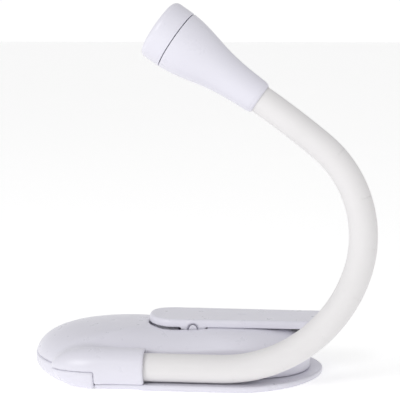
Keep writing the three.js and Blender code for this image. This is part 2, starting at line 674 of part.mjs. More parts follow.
// ---------------------------------------------------------------- neck
// The neck's centre line in its own plane, which passes through the socket's axis and leans back.
class NeckCurve {
  constructor() {
    this.total = NECK_STRAIGHT + NECK_BENDS.reduce((s, [r, sweep]) => s + r * deg(sweep), 0);
  }

  // place and direction at a distance from the socket's face
  at(distance) {
    let x = SOCKET_X;
    let h = 0;
    let angle = 0;
    let left = distance - NECK_STRAIGHT;
    x += Math.min(distance, NECK_STRAIGHT);
    NECK_BENDS.forEach(([r, sweep]) => {
      if (left <= 0) return;
      const turn = Math.min(left / r, deg(sweep));
      x += r * (Math.sin(angle + turn) - Math.sin(angle));
      h += r * (Math.cos(angle) - Math.cos(angle + turn));
      angle += turn;
      left -= r * turn;
    });
    if (left > 0) {
      x += left * Math.cos(angle);
      h += left * Math.sin(angle);
    }
    const [s, c] = [Math.sin(deg(NECK_LEAN)), Math.cos(deg(NECK_LEAN))];
    return {
      place: vec(x, NECK_Y + s * h, NECK_Z + c * h),
      along: vec(Math.cos(angle), s * Math.sin(angle), c * Math.sin(angle)),
    };
  }
}

const neck = new NeckCurve();
const JOINT_PITCH = (neck.total - FIRST_JOINT - 7) / (JOINT_COUNT - 1);
const jointAt = (i) => FIRST_JOINT + JOINT_PITCH * i;
const SIDES = 16;

// A round section swept from one distance to another, with its own radius at each station.
function sweptRing(distance, r, sides, axial = 0) {
  const { place, along } = neck.at(distance);
  const lean = vec(0, Math.cos(deg(NECK_LEAN)), -Math.sin(deg(NECK_LEAN))); // across the neck's plane
  const up = new THREE.Vector3().crossVectors(along, lean);
  const ring = [];
  for (let j = 0; j < sides; j += 1) {
    const a = (j / sides) * 2 * Math.PI;
    const p = place.clone().addScaledVector(along, axial);
    p.addScaledVector(lean, r * Math.cos(a)).addScaledVector(up, r * Math.sin(a));
    ring.push([p.x, p.y, p.z]);
  }
  return ring;
}

// One length of sleeve. It starts in a cup that clears the ball before it, and ends in a ball about its own joint.
function sleeve(from, to, { cup = true, ball = true }) {
  const cupR = NECK_R + JOINT_GAP;
  const start = from + (cup ? Math.sqrt(cupR ** 2 - NECK_R ** 2) + 0.15 : 0);
  const rings = [];
  const ballRings = [0, 34, 68];
  const length = to - start;
  const stations = 2;
  if (cup) {
    // the cup's wall, from its deepest ring out to the lip
    const deepest = Math.asin((BORE_R + 0.4) / cupR);
    const lip = Math.asin(NECK_R / cupR) - 0.02;
    for (let i = 0; i <= 2; i += 1) {
      const a = deepest + ((lip - deepest) * i) / 2;
      rings.push(sweptRing(from, cupR * Math.sin(a), SIDES, cupR * Math.cos(a)));
    }
  } else {
    rings.push(sweptRing(start, BORE_R, SIDES));
  }
  for (let i = 0; i <= stations; i += 1) rings.push(sweptRing(start + (length * i) / stations, NECK_R, SIDES));
  if (ball) {
    ballRings.slice(1).forEach((t) => {
      if (NECK_R * Math.cos(deg(t)) > BORE_R) {
        rings.push(sweptRing(to, NECK_R * Math.cos(deg(t)), SIDES, NECK_R * Math.sin(deg(t))));
      }
    });
    rings.push(sweptRing(to, BORE_R, SIDES, Math.sqrt(NECK_R ** 2 - BORE_R ** 2)));
  } else {
    rings.push(sweptRing(to, BORE_R, SIDES));
  }
  // the bore, back from the far end to the near one
  rings.push(sweptRing(start + length / 2, BORE_R, SIDES));
  return closedLoop(rings);
}

// Skins rings into a ring-shaped body: the last ring joins back to the first.
function closedLoop(rings) {
  const n = rings[0].length;
  const points = rings.flat(2);
  const faces = [];
  for (let k = 0; k < rings.length; k += 1) {
    const next = (k + 1) % rings.length;
    for (let j = 0; j < n; j += 1) {
      const a = k * n + j;
      const b = k * n + ((j + 1) % n);
      const c = next * n + ((j + 1) % n);
      const d = next * n + j;
      faces.push(a, b, c, a, c, d);
    }
  }
  const build = (order) => {
    const g = new THREE.BufferGeometry();
    g.setAttribute('position', new THREE.Float32BufferAttribute(points, 3));
    g.setIndex(order);
    return toSolid(g);
  };
  const solid = build(faces);
  return solid.volume() > 0 ? solid : build([...faces].reverse());
}

function coreLength(from, to) {
  const rings = [];
  const count = 2;
  for (let i = 0; i <= count; i += 1) rings.push(sweptRing(from + ((to - from) * i) / count, CORE_R, 8));
  const solid = lofted(rings);
  return solid.volume() > 0 ? solid : lofted(rings.reverse());
}

// ---------------------------------------------------------------- head
const headEnd = neck.at(neck.total);
const HEAD_AT = headEnd.place;
const HEAD_AXIS = headEnd.along;
const headPart = (profile, sides = 24) => turned(profile, HEAD_AT, HEAD_AXIS, sides);
const SLEEVE_IN_HEAD = 5;

function headShell() {
  const outer = [[0, 0], [0, NECK_R + 0.35], ...HEAD_PROFILE, [HEAD_SEAM - GAP / 2, HEAD_SEAM_R], [HEAD_SEAM - GAP / 2, 0]];
  const shell = headPart(outer);
  const innerProfile = HEAD_PROFILE.filter(([along]) => along > 12).map(([along, r]) => [along, r - HEAD_WALL]);
  const first = innerProfile[0];
  const hollow = headPart([[12, 0], [12, first[1] - 0.4], ...innerProfile,
    [HEAD_SEAM + 1, HEAD_SEAM_R - HEAD_WALL], [HEAD_SEAM + 1, 0]]);
  const mouth = headPart([[-1, 0], [-1, NECK_R + 0.3], [SLEEVE_IN_HEAD + 0.4, NECK_R + 0.3],
    [SLEEVE_IN_HEAD + 0.4, 3.2], [13, 3.2], [13, 0]], 24);
  return cut(shell, hollow, mouth);
}

function bezel() {
  const z0 = HEAD_SEAM + GAP / 2;
  const z1 = HEAD_LENGTH;
  const profile = [[z0, HEAD_SEAM_R - HEAD_WALL], [z0, BEZEL_R]];
  for (let i = 0; i <= 4; i += 1) {
    const a = (Math.PI / 2) * (i / 4);
    const along = z1 - BEZEL_CORNER * (1 - Math.sin(a));
    profile.push([along, BEZEL_R - BEZEL_CORNER * (1 - Math.cos(a))]);
  }
  profile.push([z1, LENS_R - 0.3], [z1 - 1, LENS_R - 0.6], [z1 - 1.2, LENS_R - 0.6]);
  profile.push([z1 - 1.2, LENS_R + GAP], [z1 - 3.2, LENS_R + GAP], [z1 - 3.2, HEAD_SEAM_R - HEAD_WALL]);
  profile.push([z0, HEAD_SEAM_R - HEAD_WALL]);
  return headPart(profile);
}

const LENS_BACK = HEAD_LENGTH - 3.0;
const BOARD_AT = 26;

function lens() {
  return headPart([
    [LENS_BACK, 0], [LENS_BACK, LENS_R], [LENS_BACK + 1.5, LENS_R], [LENS_BACK + 1.5, 6.5],
    [LENS_BACK + 1.9, 4.5], [LENS_BACK + 2.15, 2.2], [LENS_BACK + 2.25, 0],
  ]);
}

function reflector() {
  const back = BOARD_AT + 1.2 + GAP;
  const front = LENS_BACK - GAP;
  const bowl = (t, extra) => [back + (front - back) * t, 2.4 + 5.4 * Math.sqrt(t) + extra];
  const steps = [0, 0.12, 0.4, 0.7, 1];
  const inner = steps.map((t) => bowl(t, 0));
  const outer = steps.map((t) => bowl(t, 0.6)).reverse();
  return headPart([...inner, ...outer, inner[0]], 20);
}

const ledBoard = () => {
  const hole = (angle) => {
    const side = sideways(angle).multiplyScalar(3.4);
    return bar(0.7, BOARD_AT - 1, BOARD_AT + 3, HEAD_AT.clone().add(side), HEAD_AXIS, 10);
  };
  return cut(headPart([[BOARD_AT, 0], [BOARD_AT, 7.2], [BOARD_AT + 1.0, 7.2], [BOARD_AT + 1.0, 0]]), hole(0), hole(180));
};

// A unit direction square to the head's axis, turned about it.
function sideways(angle) {
  const across = vec(0, 1, 0).cross(HEAD_AXIS).normalize();
  return across.applyAxisAngle(HEAD_AXIS, deg(angle));
}

const led = () => headPart([
  [BOARD_AT + 1.0 + GAP, 0], [BOARD_AT + 1.0 + GAP, 1.7], [BOARD_AT + 2.2, 1.7], [BOARD_AT + 2.8, 1.4],
  [BOARD_AT + 3.3, 0.8], [BOARD_AT + 3.5, 0],
], 16);

// The crimped bush that grips the core inside each housing.
const headBush = () => headPart([
  [SLEEVE_IN_HEAD + 0.7, CORE_R + GAP], [SLEEVE_IN_HEAD + 0.7, 2.9], [11.6, 2.9], [11.6, CORE_R + GAP],
  [SLEEVE_IN_HEAD + 0.7, CORE_R + GAP],
], 16);
const socketBush = () => pipe(4.4, CORE_R + GAP, -SOCKET_DEPTH - 5.6, -SOCKET_DEPTH - 2.8,
  onNeckAxis(SOCKET_X), X_AXIS, 18);

function headLead(angle) {
  const a = HEAD_AT.clone().addScaledVector(HEAD_AXIS, 12.4).addScaledVector(sideways(angle), 2.3);
  const b = HEAD_AT.clone().addScaledVector(HEAD_AXIS, 19).addScaledVector(sideways(angle), 3.9);
  const c = HEAD_AT.clone().addScaledVector(HEAD_AXIS, BOARD_AT - 0.5).addScaledVector(sideways(angle), 3.4);
  return wire(new THREE.CatmullRomCurve3([a, b, c]), 0.5, 8, 6);
}

// ---------------------------------------------------------------- screws
function screw([x, y]) {
  const top = PLATE + SCREW_LENGTH;
  return turned([
    [0.1, 0], [0.1, SCREW_HEAD_R - 0.4], [0.5, SCREW_HEAD_R], [0.6, SCREW_HEAD_R], [0.6, SCREW_R],
    [top - 1.2, SCREW_R], [top, 0],
  ], vec(x, y, 0), Z_AXIS, 12);
}

// ---------------------------------------------------------------- assembly
const lamp = new THREE.Group();

function add(name, shape, material, parent = lamp) {
  const geometry = shape.isBufferGeometry ? shape : toGeometry(shape);
  const mesh = new THREE.Mesh(geometry, material);
  mesh.name = name;
  parent.add(mesh);
}

const base = new THREE.Group();
add('top_housing', topHousing(), GLOSS_WHITE, base);
add('bottom_housing', bottomHousing(), GLOSS_WHITE, base);
for (let i = 0; i < CELL_COUNT; i += 1) add(`cell_${i + 1}`, cell(i, i % 2 === 0 ? 1 : -1), CELL_JACKET, base);
add('contact_plate_negative', contactPlate(-1, 0, 0), NICKEL, base);
add('contact_link_left', contactPlate(-1, 1, 2), NICKEL, base);
add('contact_link_right', contactPlate(1, 0, 1), NICKEL, base);
add('contact_plate_positive', contactPlate(1, 2, 2), NICKEL, base);
for (let i = 0; i < CELL_COUNT; i += 1) {
  add(`contact_spring_${i + 1}`, contactSpring(i, i % 2 === 0 ? -1 : 1), NICKEL, base);
}
add('circuit_board', board(), GREEN_BOARD, base);
add('current_resistor', resistor(), CELL_JACKET, base);
add('switch_body', switchBody(), STEEL, base);
SCREW_PLACES.forEach((place, i) => add(`housing_screw_${i + 1}`, screw(place), STEEL, base));
add('clip_pin', clipPin(), GLOSS_WHITE, base);
add('torsion_spring', torsionSpring(), STEEL, base);
add('neck_socket_bush', socketBush(), NICKEL, base);
add('lead_positive', lead([[CONTACT.right + 0.9, 12.6, 6.6], [13, 12.6, 6.6], [14.6, 11, 6.7], [16.6, 9.5, 6.9]]), RED_WIRE, base);
lamp.add(base);

add('battery_cover', batteryCover(), GLOSS_WHITE);
add('switch_knob', switchKnob(), GLOSS_WHITE);

const clip = new THREE.Group();
add('clip_lever', clipLever(), GLOSS_WHITE, clip);
add('clip_grip_pad', gripPad(), BLACK_RUBBER, clip);
lamp.add(clip);

// the neck: one length fixed in the socket, then one length after each joint, the last of them in the head
add('neck_sleeve_0', sleeve(-SOCKET_DEPTH + 0.4, jointAt(0), { cup: false }), SOFT_WHITE);
add('neck_core_0', coreLength(-SOCKET_DEPTH - 5, jointAt(0) + NECK_R - 1.6), STEEL);
for (let i = 0; i < JOINT_COUNT; i += 1) {
  const last = i === JOINT_COUNT - 1;
  const from = jointAt(i);
  const to = last ? neck.total + SLEEVE_IN_HEAD - 0.1 : jointAt(i + 1);
  add(`neck_sleeve_${i + 1}`, sleeve(from, to, { ball: !last }), SOFT_WHITE);
  add(`neck_core_${i + 1}`, coreLength(from + NECK_R + 0.7, last ? neck.total + 11 : to + NECK_R - 1.6), STEEL);
}

const head = new THREE.Group();
add('head_shell', headShell(), GLOSS_WHITE, head);
add('head_bezel', bezel(), GLOSS_WHITE, head);
add('head_lens', lens(), CLEAR, head);
add('head_reflector', reflector(), CHROME, head);
add('led_board', ledBoard(), GREEN_BOARD, head);
add('led', led(), PHOSPHOR, head);
add('head_bush', headBush(), NICKEL, head);
add('head_lead_positive', headLead(0), RED_WIRE, head);
add('head_lead_negative', headLead(180), BLACK_WIRE, head);
lamp.add(head);

export default lamp;
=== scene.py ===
# %% [markdown]
# # A clip on reading lamp
# The lamp is a flat rounded battery base, a sprung clip along its top, a soft-sleeved neck that bends up
# and back over the base, and a small flared head with a lens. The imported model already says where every
# piece is and how it moves. Here each visible piece gets its finished surface and its material.

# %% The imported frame
import json
import math

import bmesh
import bpy
import numpy as np
from mathutils import Matrix, Vector


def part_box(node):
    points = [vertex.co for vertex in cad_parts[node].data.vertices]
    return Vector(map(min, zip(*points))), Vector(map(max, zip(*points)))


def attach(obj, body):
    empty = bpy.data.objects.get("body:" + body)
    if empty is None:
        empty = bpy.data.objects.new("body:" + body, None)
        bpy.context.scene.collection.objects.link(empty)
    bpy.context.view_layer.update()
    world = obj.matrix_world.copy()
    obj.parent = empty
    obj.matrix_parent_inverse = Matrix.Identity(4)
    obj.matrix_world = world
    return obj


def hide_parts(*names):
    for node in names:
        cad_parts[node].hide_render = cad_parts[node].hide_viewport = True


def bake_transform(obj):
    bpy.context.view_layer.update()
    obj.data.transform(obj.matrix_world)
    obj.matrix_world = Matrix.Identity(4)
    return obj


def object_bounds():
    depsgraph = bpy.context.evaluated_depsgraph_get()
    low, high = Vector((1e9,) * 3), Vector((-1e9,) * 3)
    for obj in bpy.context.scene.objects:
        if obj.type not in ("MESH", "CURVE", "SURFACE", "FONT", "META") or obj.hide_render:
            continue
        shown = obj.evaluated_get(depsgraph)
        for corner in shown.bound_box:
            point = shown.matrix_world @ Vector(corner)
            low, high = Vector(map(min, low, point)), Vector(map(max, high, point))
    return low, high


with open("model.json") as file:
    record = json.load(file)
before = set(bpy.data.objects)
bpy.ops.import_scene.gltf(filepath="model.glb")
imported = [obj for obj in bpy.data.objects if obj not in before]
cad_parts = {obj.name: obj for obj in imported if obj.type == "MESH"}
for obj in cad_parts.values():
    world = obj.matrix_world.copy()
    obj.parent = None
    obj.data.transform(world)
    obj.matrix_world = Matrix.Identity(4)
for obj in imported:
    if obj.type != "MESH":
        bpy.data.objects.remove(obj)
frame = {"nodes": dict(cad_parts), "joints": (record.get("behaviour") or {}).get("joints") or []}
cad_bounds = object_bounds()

MM = 0.001
scene = bpy.context.scene

# %% [markdown]
# ## The camera
# The lamp is seen almost square on, from a little above and a little to its right. A long lens keeps the
# base's two ends nearly parallel, which is how a small object looks from arm's length.

# %% Camera
camera_data = bpy.data.cameras.new("camera")
camera_data.lens = 117.0
camera_data.sensor_width = 36.0
camera_data.clip_start = 0.01
camera = bpy.data.objects.new("camera", camera_data)
scene.collection.objects.link(camera)
camera.location = Vector((50.74, -470.43, 130.42)) * MM
aim = Vector((7.93, 0.0, 63.35)) * MM
camera.rotation_euler = (aim - camera.location).to_track_quat("-Z", "Y").to_euler()
scene.camera = camera

# %% [markdown]
# ## Floor and light
# A white lamp on a white floor reads as round only when its faces differ in brightness. The surroundings
# are bright at the horizon and darker overhead, so the lamp's top is a shade darker than its sides, and
# one soft light from the left front models the edges. The floor is pale and gives off a little light of
# its own, which keeps it white.

# %% Floor
floor_mesh = bpy.data.meshes.new("floor")
FLOOR_REACH = 6.0
corner = [(-1, -1), (1, -1), (1, 1), (-1, 1)]
floor_mesh.from_pydata([(x * FLOOR_REACH, y * FLOOR_REACH, 0.0) for x, y in corner], [], [(0, 1, 2, 3)])
floor = bpy.data.objects.new("floor", floor_mesh)
floor.location.z = cad_bounds[0][2] - 0.00005
scene.collection.objects.link(floor)

# %% Lights
SKY_AT_HORIZON = 1.02
SKY_OVERHEAD = 0.58
scene.view_settings.view_transform = "Standard"
world = bpy.data.worlds.new("studio")
scene.world = world
world.use_nodes = True
sky = world.node_tree
direction = sky.nodes.new("ShaderNodeTexCoord")
parts = sky.nodes.new("ShaderNodeSeparateXYZ")
falloff = sky.nodes.new("ShaderNodeMapRange")
fade = (("From Min", 0.05), ("From Max", 0.45), ("To Min", SKY_AT_HORIZON), ("To Max", SKY_OVERHEAD))
for socket, value in fade:
    falloff.inputs[socket].default_value = value
sky.links.new(direction.outputs["Generated"], parts.inputs["Vector"])
sky.links.new(parts.outputs["Z"], falloff.inputs["Value"])
sky.links.new(falloff.outputs["Result"], sky.nodes["Background"].inputs["Strength"])
sky.nodes["Background"].inputs["Color"].default_value = (1.0, 1.0, 1.0, 1.0)


def soft_light(name, place, target, size, watts):
    """A square area light that faces its target, all in metres."""
    data = bpy.data.lights.new(name, "AREA")
    data.shape = "SQUARE"
    data.size = size
    data.energy = watts
    light = bpy.data.objects.new(name, data)
    light.location = place
    light.rotation_euler = (Vector(target) - Vector(place)).to_track_quat("-Z", "Y").to_euler()
    scene.collection.objects.link(light)
    return light


soft_light("front_light", (-0.5, -0.75, 0.60), (0.0, 0.0, 0.05), 0.45, 3.2)

# %% [markdown]
# ## Materials
# Every finish is built from the same few moves: a colour that drifts slightly, a roughness that drifts
# with it, and a fine bump. What changes is the scale. All patterns read Object coordinates, which are
# metres here, so a scale of 1000 repeats about once a millimetre.


# %% Node helpers
def nodes_of(name):
    """A new material with its node tree, its shader and its output."""
    material = bpy.data.materials.new(name)
    material.use_nodes = True
    tree = material.node_tree
    return material, tree, tree.nodes["Principled BSDF"]


def add_node(tree, kind, values=None, **settings):
    node = tree.nodes.new(kind)
    for key, value in settings.items():
        setattr(node, key, value)
    for key, value in (values or {}).items():
        node.inputs[key].default_value = value
    return node


def noise(tree, scale, detail=3.0, roughness=0.5):
    """Noise on Object coordinates, with the number of repeats in a metre."""
    place = add_node(tree, "ShaderNodeTexCoord")
    grain = add_node(tree, "ShaderNodeTexNoise", {"Scale": scale, "Detail": detail, "Roughness": roughness})
    tree.links.new(place.outputs["Object"], grain.inputs["Vector"])
    return grain.outputs["Fac"]


def spread(tree, value, low, high):
    """Maps 0.3..0.7 of a noise to the range from low to high."""
    limits = {"From Min": 0.3, "From Max": 0.7, "To Min": low, "To Max": high}
    node = add_node(tree, "ShaderNodeMapRange", limits)
    tree.links.new(value, node.inputs["Value"])
    return node.outputs["Result"]


def blend_colours(tree, value, first, second):
    node = add_node(tree, "ShaderNodeMix", data_type="RGBA")
    node.inputs[6].default_value = (*first, 1.0)
    node.inputs[7].default_value = (*second, 1.0)
    tree.links.new(value, node.inputs[0])
    return node.outputs[2]


def bump(tree, shader, value, depth, strength=1.0):
    node = add_node(tree, "ShaderNodeBump", {"Strength": strength, "Distance": depth})
    tree.links.new(value, node.inputs["Height"])
    tree.links.new(node.outputs["Normal"], shader.inputs["Normal"])


def finish(name, colours, roughness, drift=90.0, grain=2500.0, depth=0.00002, metal=0.0, **sockets):
    """The common recipe: two close colours, two close roughnesses and a fine bump."""
    material, tree, shader = nodes_of(name)
    wide = noise(tree, drift, 4.0)
    tree.links.new(blend_colours(tree, spread(tree, wide, 0.0, 1.0), *colours), shader.inputs["Base Color"])
    fine = noise(tree, grain, 2.0)
    tree.links.new(spread(tree, noise(tree, drift * 3.0, 5.0, 0.6), *roughness), shader.inputs["Roughness"])
    bump(tree, shader, fine, depth)
    shader.inputs["Metallic"].default_value = metal
    for socket, value in sockets.items():
        shader.inputs[socket.replace("_", " ")].default_value = value
    return material


# %% Finishes
gloss_white = finish("gloss_white_abs", ((0.745, 0.735, 0.81), (0.735, 0.725, 0.80)), (0.26, 0.34),
                     drift=60.0, grain=900.0, depth=0.000004)
soft_white = finish("soft_white_silicone", ((0.775, 0.76, 0.765), (0.76, 0.745, 0.75)), (0.52, 0.66),
                    drift=120.0, grain=5200.0, depth=0.000022, Sheen_Weight=0.15, Sheen_Roughness=0.4)
wire_steel = finish("steel_wire", ((0.52, 0.53, 0.54), (0.40, 0.41, 0.42)), (0.25, 0.45), metal=1.0)
plated_steel = finish("plated_steel", ((0.66, 0.66, 0.67), (0.54, 0.54, 0.55)), (0.18, 0.34), metal=1.0)
nickel = finish("nickel_plate", ((0.68, 0.66, 0.61), (0.58, 0.56, 0.52)), (0.2, 0.36), metal=1.0)
black_rubber = finish("black_rubber", ((0.028, 0.029, 0.031), (0.018, 0.018, 0.02)), (0.6, 0.8),
                      depth=0.00005)
red_lead = finish("red_lead", ((0.55, 0.05, 0.04), (0.48, 0.04, 0.03)), (0.4, 0.5))
black_lead = finish("black_lead", ((0.02, 0.02, 0.022), (0.014, 0.014, 0.016)), (0.4, 0.5))
green_board = finish("green_board", ((0.02, 0.13, 0.06), (0.014, 0.10, 0.045)), (0.25, 0.4), drift=700.0)
mirror_bowl = finish("bright_reflector", ((0.88, 0.88, 0.89), (0.84, 0.84, 0.86)), (0.04, 0.1),
                     metal=1.0, grain=3000.0, depth=0.00001)
phosphor = finish("led_package", ((0.85, 0.62, 0.12), (0.78, 0.54, 0.08)), (0.25, 0.35))

lens_clear = finish("clear_lens", ((0.97, 0.98, 0.99), (0.95, 0.96, 0.98)), (0.02, 0.05), grain=900.0,
                    depth=0.000002, Transmission_Weight=1.0, IOR=1.49)
print(len(bpy.data.materials), "materials")


# %% [markdown]
# A cell's jacket is printed in two bands, and the resistor carries rings. Both are steps along X, so one
# ramp of the X coordinate paints them.


# %% Banded finishes
def banded(name, stops, low, high, roughness, metal=0.0):
    """Bands of colour along X, from one place to another in metres."""
    material, tree, shader = nodes_of(name)
    place = add_node(tree, "ShaderNodeTexCoord")
    split = add_node(tree, "ShaderNodeSeparateXYZ")
    tree.links.new(place.outputs["Object"], split.inputs["Vector"])
    share = add_node(tree, "ShaderNodeMapRange", {"From Min": low, "From Max": high})
    tree.links.new(split.outputs["X"], share.inputs["Value"])
    ramp = add_node(tree, "ShaderNodeValToRGB")
    ramp.color_ramp.interpolation = "CONSTANT"
    for i, (at, colour) in enumerate(stops):
        stop = ramp.color_ramp.elements[i] if i < 2 else ramp.color_ramp.elements.new(at)
        stop.position = at
        stop.color = (*colour, 1.0)
    tree.links.new(share.outputs["Result"], ramp.inputs["Fac"])
    tree.links.new(ramp.outputs["Color"], shader.inputs["Base Color"])
    tree.links.new(spread(tree, noise(tree, 400.0), *roughness), shader.inputs["Roughness"])
    bump(tree, shader, noise(tree, 1800.0), 0.00001)
    shader.inputs["Metallic"].default_value = metal
    return material


cell_low, cell_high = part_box("cell_1")
JACKET = (0.03, 0.11, 0.30)
BAND = (0.60, 0.61, 0.62)
TIN = (0.45, 0.45, 0.44)
cell_jacket = banded("cell_jacket", [(0.0, TIN), (0.03, JACKET), (0.22, BAND), (0.26, JACKET),
                                     (0.80, BAND), (0.95, TIN)], cell_low[0], cell_high[0], (0.2, 0.34))
part_low, part_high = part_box("current_resistor")
TAN = (0.50, 0.36, 0.20)
BROWN = (0.25, 0.08, 0.02)
INK = (0.02, 0.02, 0.02)
RED = (0.30, 0.03, 0.02)
GOLD = (0.5, 0.33, 0.06)
rings = [(0.0, TAN), (0.2, BROWN), (0.28, TAN), (0.4, INK),
         (0.48, TAN), (0.6, RED), (0.68, TAN), (0.85, GOLD)]
resistor_body = banded("resistor_body", rings, part_low[0], part_high[0], (0.3, 0.45))


# %% [markdown]
# ## Mouldings from a field
# The base and the clip are moulded shapes that run into each other with soft creases. A field does that
# well: a function that is negative inside the plastic, zero on its skin, and close to the distance in
# millimetres near it. Two fields join with a minimum, are cut with a maximum, and a rounded minimum or
# maximum leaves a fillet.


# %% Field helpers
def round_max(a, b, r):
    """The overlap of two fields, with its edge rounded to the radius r."""
    u = np.maximum(a + r, 0.0)
    v = np.maximum(b + r, 0.0)
    return np.minimum(np.maximum(a, b), -r) + np.sqrt(u * u + v * v)


def round_min(a, b, r):
    """The union of two fields, with its inner corner filled to the radius r."""
    return -round_max(-a, -b, r)


def true_distance(rule, p, step=0.03):
    """Divides a rule by its slope, which makes it a distance near its skin."""
    total = np.zeros(len(p))
    for axis in range(3):
        offset = np.zeros(3)
        offset[axis] = step
        total += ((rule(p + offset) - rule(p - offset)) / (2 * step)) ** 2
    return np.clip(rule(p) / np.sqrt(np.maximum(total, 1e-4)), -8.0, 8.0)


def block(p, low, high):
    """A box from one corner to the other; None leaves a side open."""
    sides = [np.full(len(p), -99.0)]
    for axis in range(3):
        if low[axis] is not None:
            sides.append(low[axis] - p[:, axis])
        if high[axis] is not None:
            sides.append(p[:, axis] - high[axis])
    return np.max(sides, axis=0)


def rod(p, centre, axis, r):
    """An endless round bar along one of the three axes."""
    others = [i for i in range(3) if i != axis]
    return np.hypot(p[:, others[0]] - centre[others[0]], p[:, others[1]] - centre[others[1]]) - r


# %% [markdown]
# The field becomes a mesh in two steps. First a net: space is cut into small cubes, each cube that the
# skin crosses gets one point, and the points of neighbouring cubes are joined into quads. Then every
# point slides down the field's slope until it is on the skin, so the surface is as smooth as the rule and
# not as rough as the cubes.


# %% Field to mesh
def net_of(values, axes, pitch):
    """One point for each cube that the skin crosses, and the quads between them."""
    counts = np.array(values.shape)
    total = np.zeros((*(counts - 1), 3))
    hits = np.zeros(counts - 1)
    quads = []
    for axis in range(3):
        here = values.take(range(counts[axis] - 1), axis)
        there = values.take(range(1, counts[axis]), axis)
        index = np.argwhere((here < 0) != (there < 0))
        a = here[tuple(index.T)]
        b = there[tuple(index.T)]
        where = np.stack([axes[i][index[:, i]] for i in range(3)], axis=1)
        where[:, axis] += pitch * a / (a - b)
        others = [i for i in range(3) if i != axis]
        ring = []
        for du, dv in ((0, 0), (1, 0), (1, 1), (0, 1)):
            cube = index.copy()
            cube[:, others[0]] -= du
            cube[:, others[1]] -= dv
            np.add.at(total, tuple(cube.T), where)
            np.add.at(hits, tuple(cube.T), 1)
            ring.append(np.ravel_multi_index(tuple(cube.T), tuple(counts - 1)))
        ring = np.stack(ring, axis=1)
        outward = (a < 0) if axis != 1 else (a >= 0)
        quads.append(np.where(outward[:, None], ring, ring[:, ::-1]))
    used = np.flatnonzero(hits.ravel())
    rename = np.zeros(hits.size, int)
    rename[used] = np.arange(len(used))
    points = (total.reshape(-1, 3)[used]) / hits.ravel()[used, None]
    return points, rename[np.concatenate(quads)]


def slope_of(field, p, step=0.02):
    slope = np.zeros_like(p)
    for axis in range(3):
        offset = np.zeros(3)
        offset[axis] = step
        slope[:, axis] = (field(p + offset) - field(p - offset)) / (2 * step)
    return slope


def settle(field, points, quads, rounds):
    """Evens out the points along the skin, and puts each of them on it."""
    edges = np.concatenate([quads[:, [0, 1]], quads[:, [1, 2]], quads[:, [2, 3]], quads[:, [3, 0]]])
    degree = np.bincount(edges.ravel(), minlength=len(points))
    for turn in range(rounds):
        slope = slope_of(field, points)
        length = np.maximum(np.linalg.norm(slope, axis=1, keepdims=True), 0.2)
        normal = slope / length
        if turn < rounds - 2:
            middle = np.zeros_like(points)
            for axis in range(3):
                middle[:, axis] = np.bincount(edges[:, 0], points[edges[:, 1], axis], len(points))
                middle[:, axis] += np.bincount(edges[:, 1], points[edges[:, 0], axis], len(points))
            drift = middle / degree[:, None] - points
            drift -= normal * np.sum(drift * normal, axis=1, keepdims=True)
            points = points + 0.5 * drift
        value = field(points)[:, None]
        points = points - normal * np.clip(value / length, -0.3, 0.3)
    return points


def moulding(name, field, low, high, pitch, rounds=7):
    """A closed, outward mesh of a field, in metres, from a range in millimetres."""
    axes = [np.arange(a - 2.3 * pitch, b + 3.3 * pitch, pitch) for a, b in zip(low, high)]
    grid = np.stack(np.meshgrid(*axes, indexing="ij"), axis=-1)
    values = field(grid.reshape(-1, 3)).reshape(grid.shape[:3])
    points, quads = net_of(values, axes, pitch)
    points = settle(field, points, quads, rounds)
    return mesh_object(name, points, quads)


def mesh_object(name, points, faces, smooth=True):
    """A mesh object from points in millimetres."""
    mesh = bpy.data.meshes.new(name)
    mesh.from_pydata((np.asarray(points, float) * MM).tolist(), [], [list(map(int, f)) for f in faces])
    mesh.update()
    if smooth:
        mesh.shade_smooth()
    piece = bpy.data.objects.new(name, mesh)
    scene.collection.objects.link(piece)
    print(name, len(mesh.vertices), "points", len(mesh.polygons), "faces")
    return piece


def settle_on(piece, body, material, slot, *nodes):
    """What every finished piece is given: material, the CAD nodes it stands for, and its body. The slot
    argument is not used.
    """
    piece.data.materials.clear()
    piece.data.materials.append(material)
    if nodes:
        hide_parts(*nodes)
    if body:
        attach(piece, body)
    return piece


# %% [markdown]
# ## The base
# Seen from above the base is a long oval: straight sides between two rounded ends. A closed outline can
# be read as a table of angle and radius, and then any point knows how far out it is as a share of the
# outline. The crown rises upright from the floor to its shoulder and rolls over to a nearly flat top. How
# square the roll is changes round the outline.

# %% Base sizes, in millimetres
HALF_LENGTH = 53.5
NEAR_HALF = 32.0
FAR_HALF = 27.0
TOP = 17.9
SHOULDER = 5.0
PLATE = 2.0
COVER_TOP = 6.6
COVER_SEAM = -26.7
GAP = 0.3
SEAM = 0.06  # half of the fine line between two mouldings that meet
SEAM_EDGE = 0.12
WALL = 1.8
RIGHT_RIM = 4.6
SOCKET_X = -9.1
NECK_Y = -27.2
NECK_Z = 7.25
NECK_R = 5.0
PIVOT = (6.3, 17.3)
CORE_NEAR = 25.1  # the crown's near half width beside the neck
CROWN_PAST_RIM = 2.6  # how far the crown's outline runs over the bare rim at the right end
BARREL_R = 6.8
BARREL_LEFT = -26.5  # where the barrel starts to round off
BARREL_CAP = 16.0
WALL_BEND = 20.0  # where the wall beside the neck starts to turn round the right end
WALL_REACH = 28.9
WALL_POWER = 2.3
POCKET_CLEAR = 0.12  # round the clip's thumb end
POCKET_EDGE = 0.2
PIN_HOLE_R = 1.4
SCREW_PLACES = [(16, -16.5), (40, -5), (34, 16.5), (2, 21.4)]


# %% Outlines as angle and radius
def smoothstep(t):
    t = np.clip(t, 0.0, 1.0)
    return t * t * (3.0 - 2.0 * t)


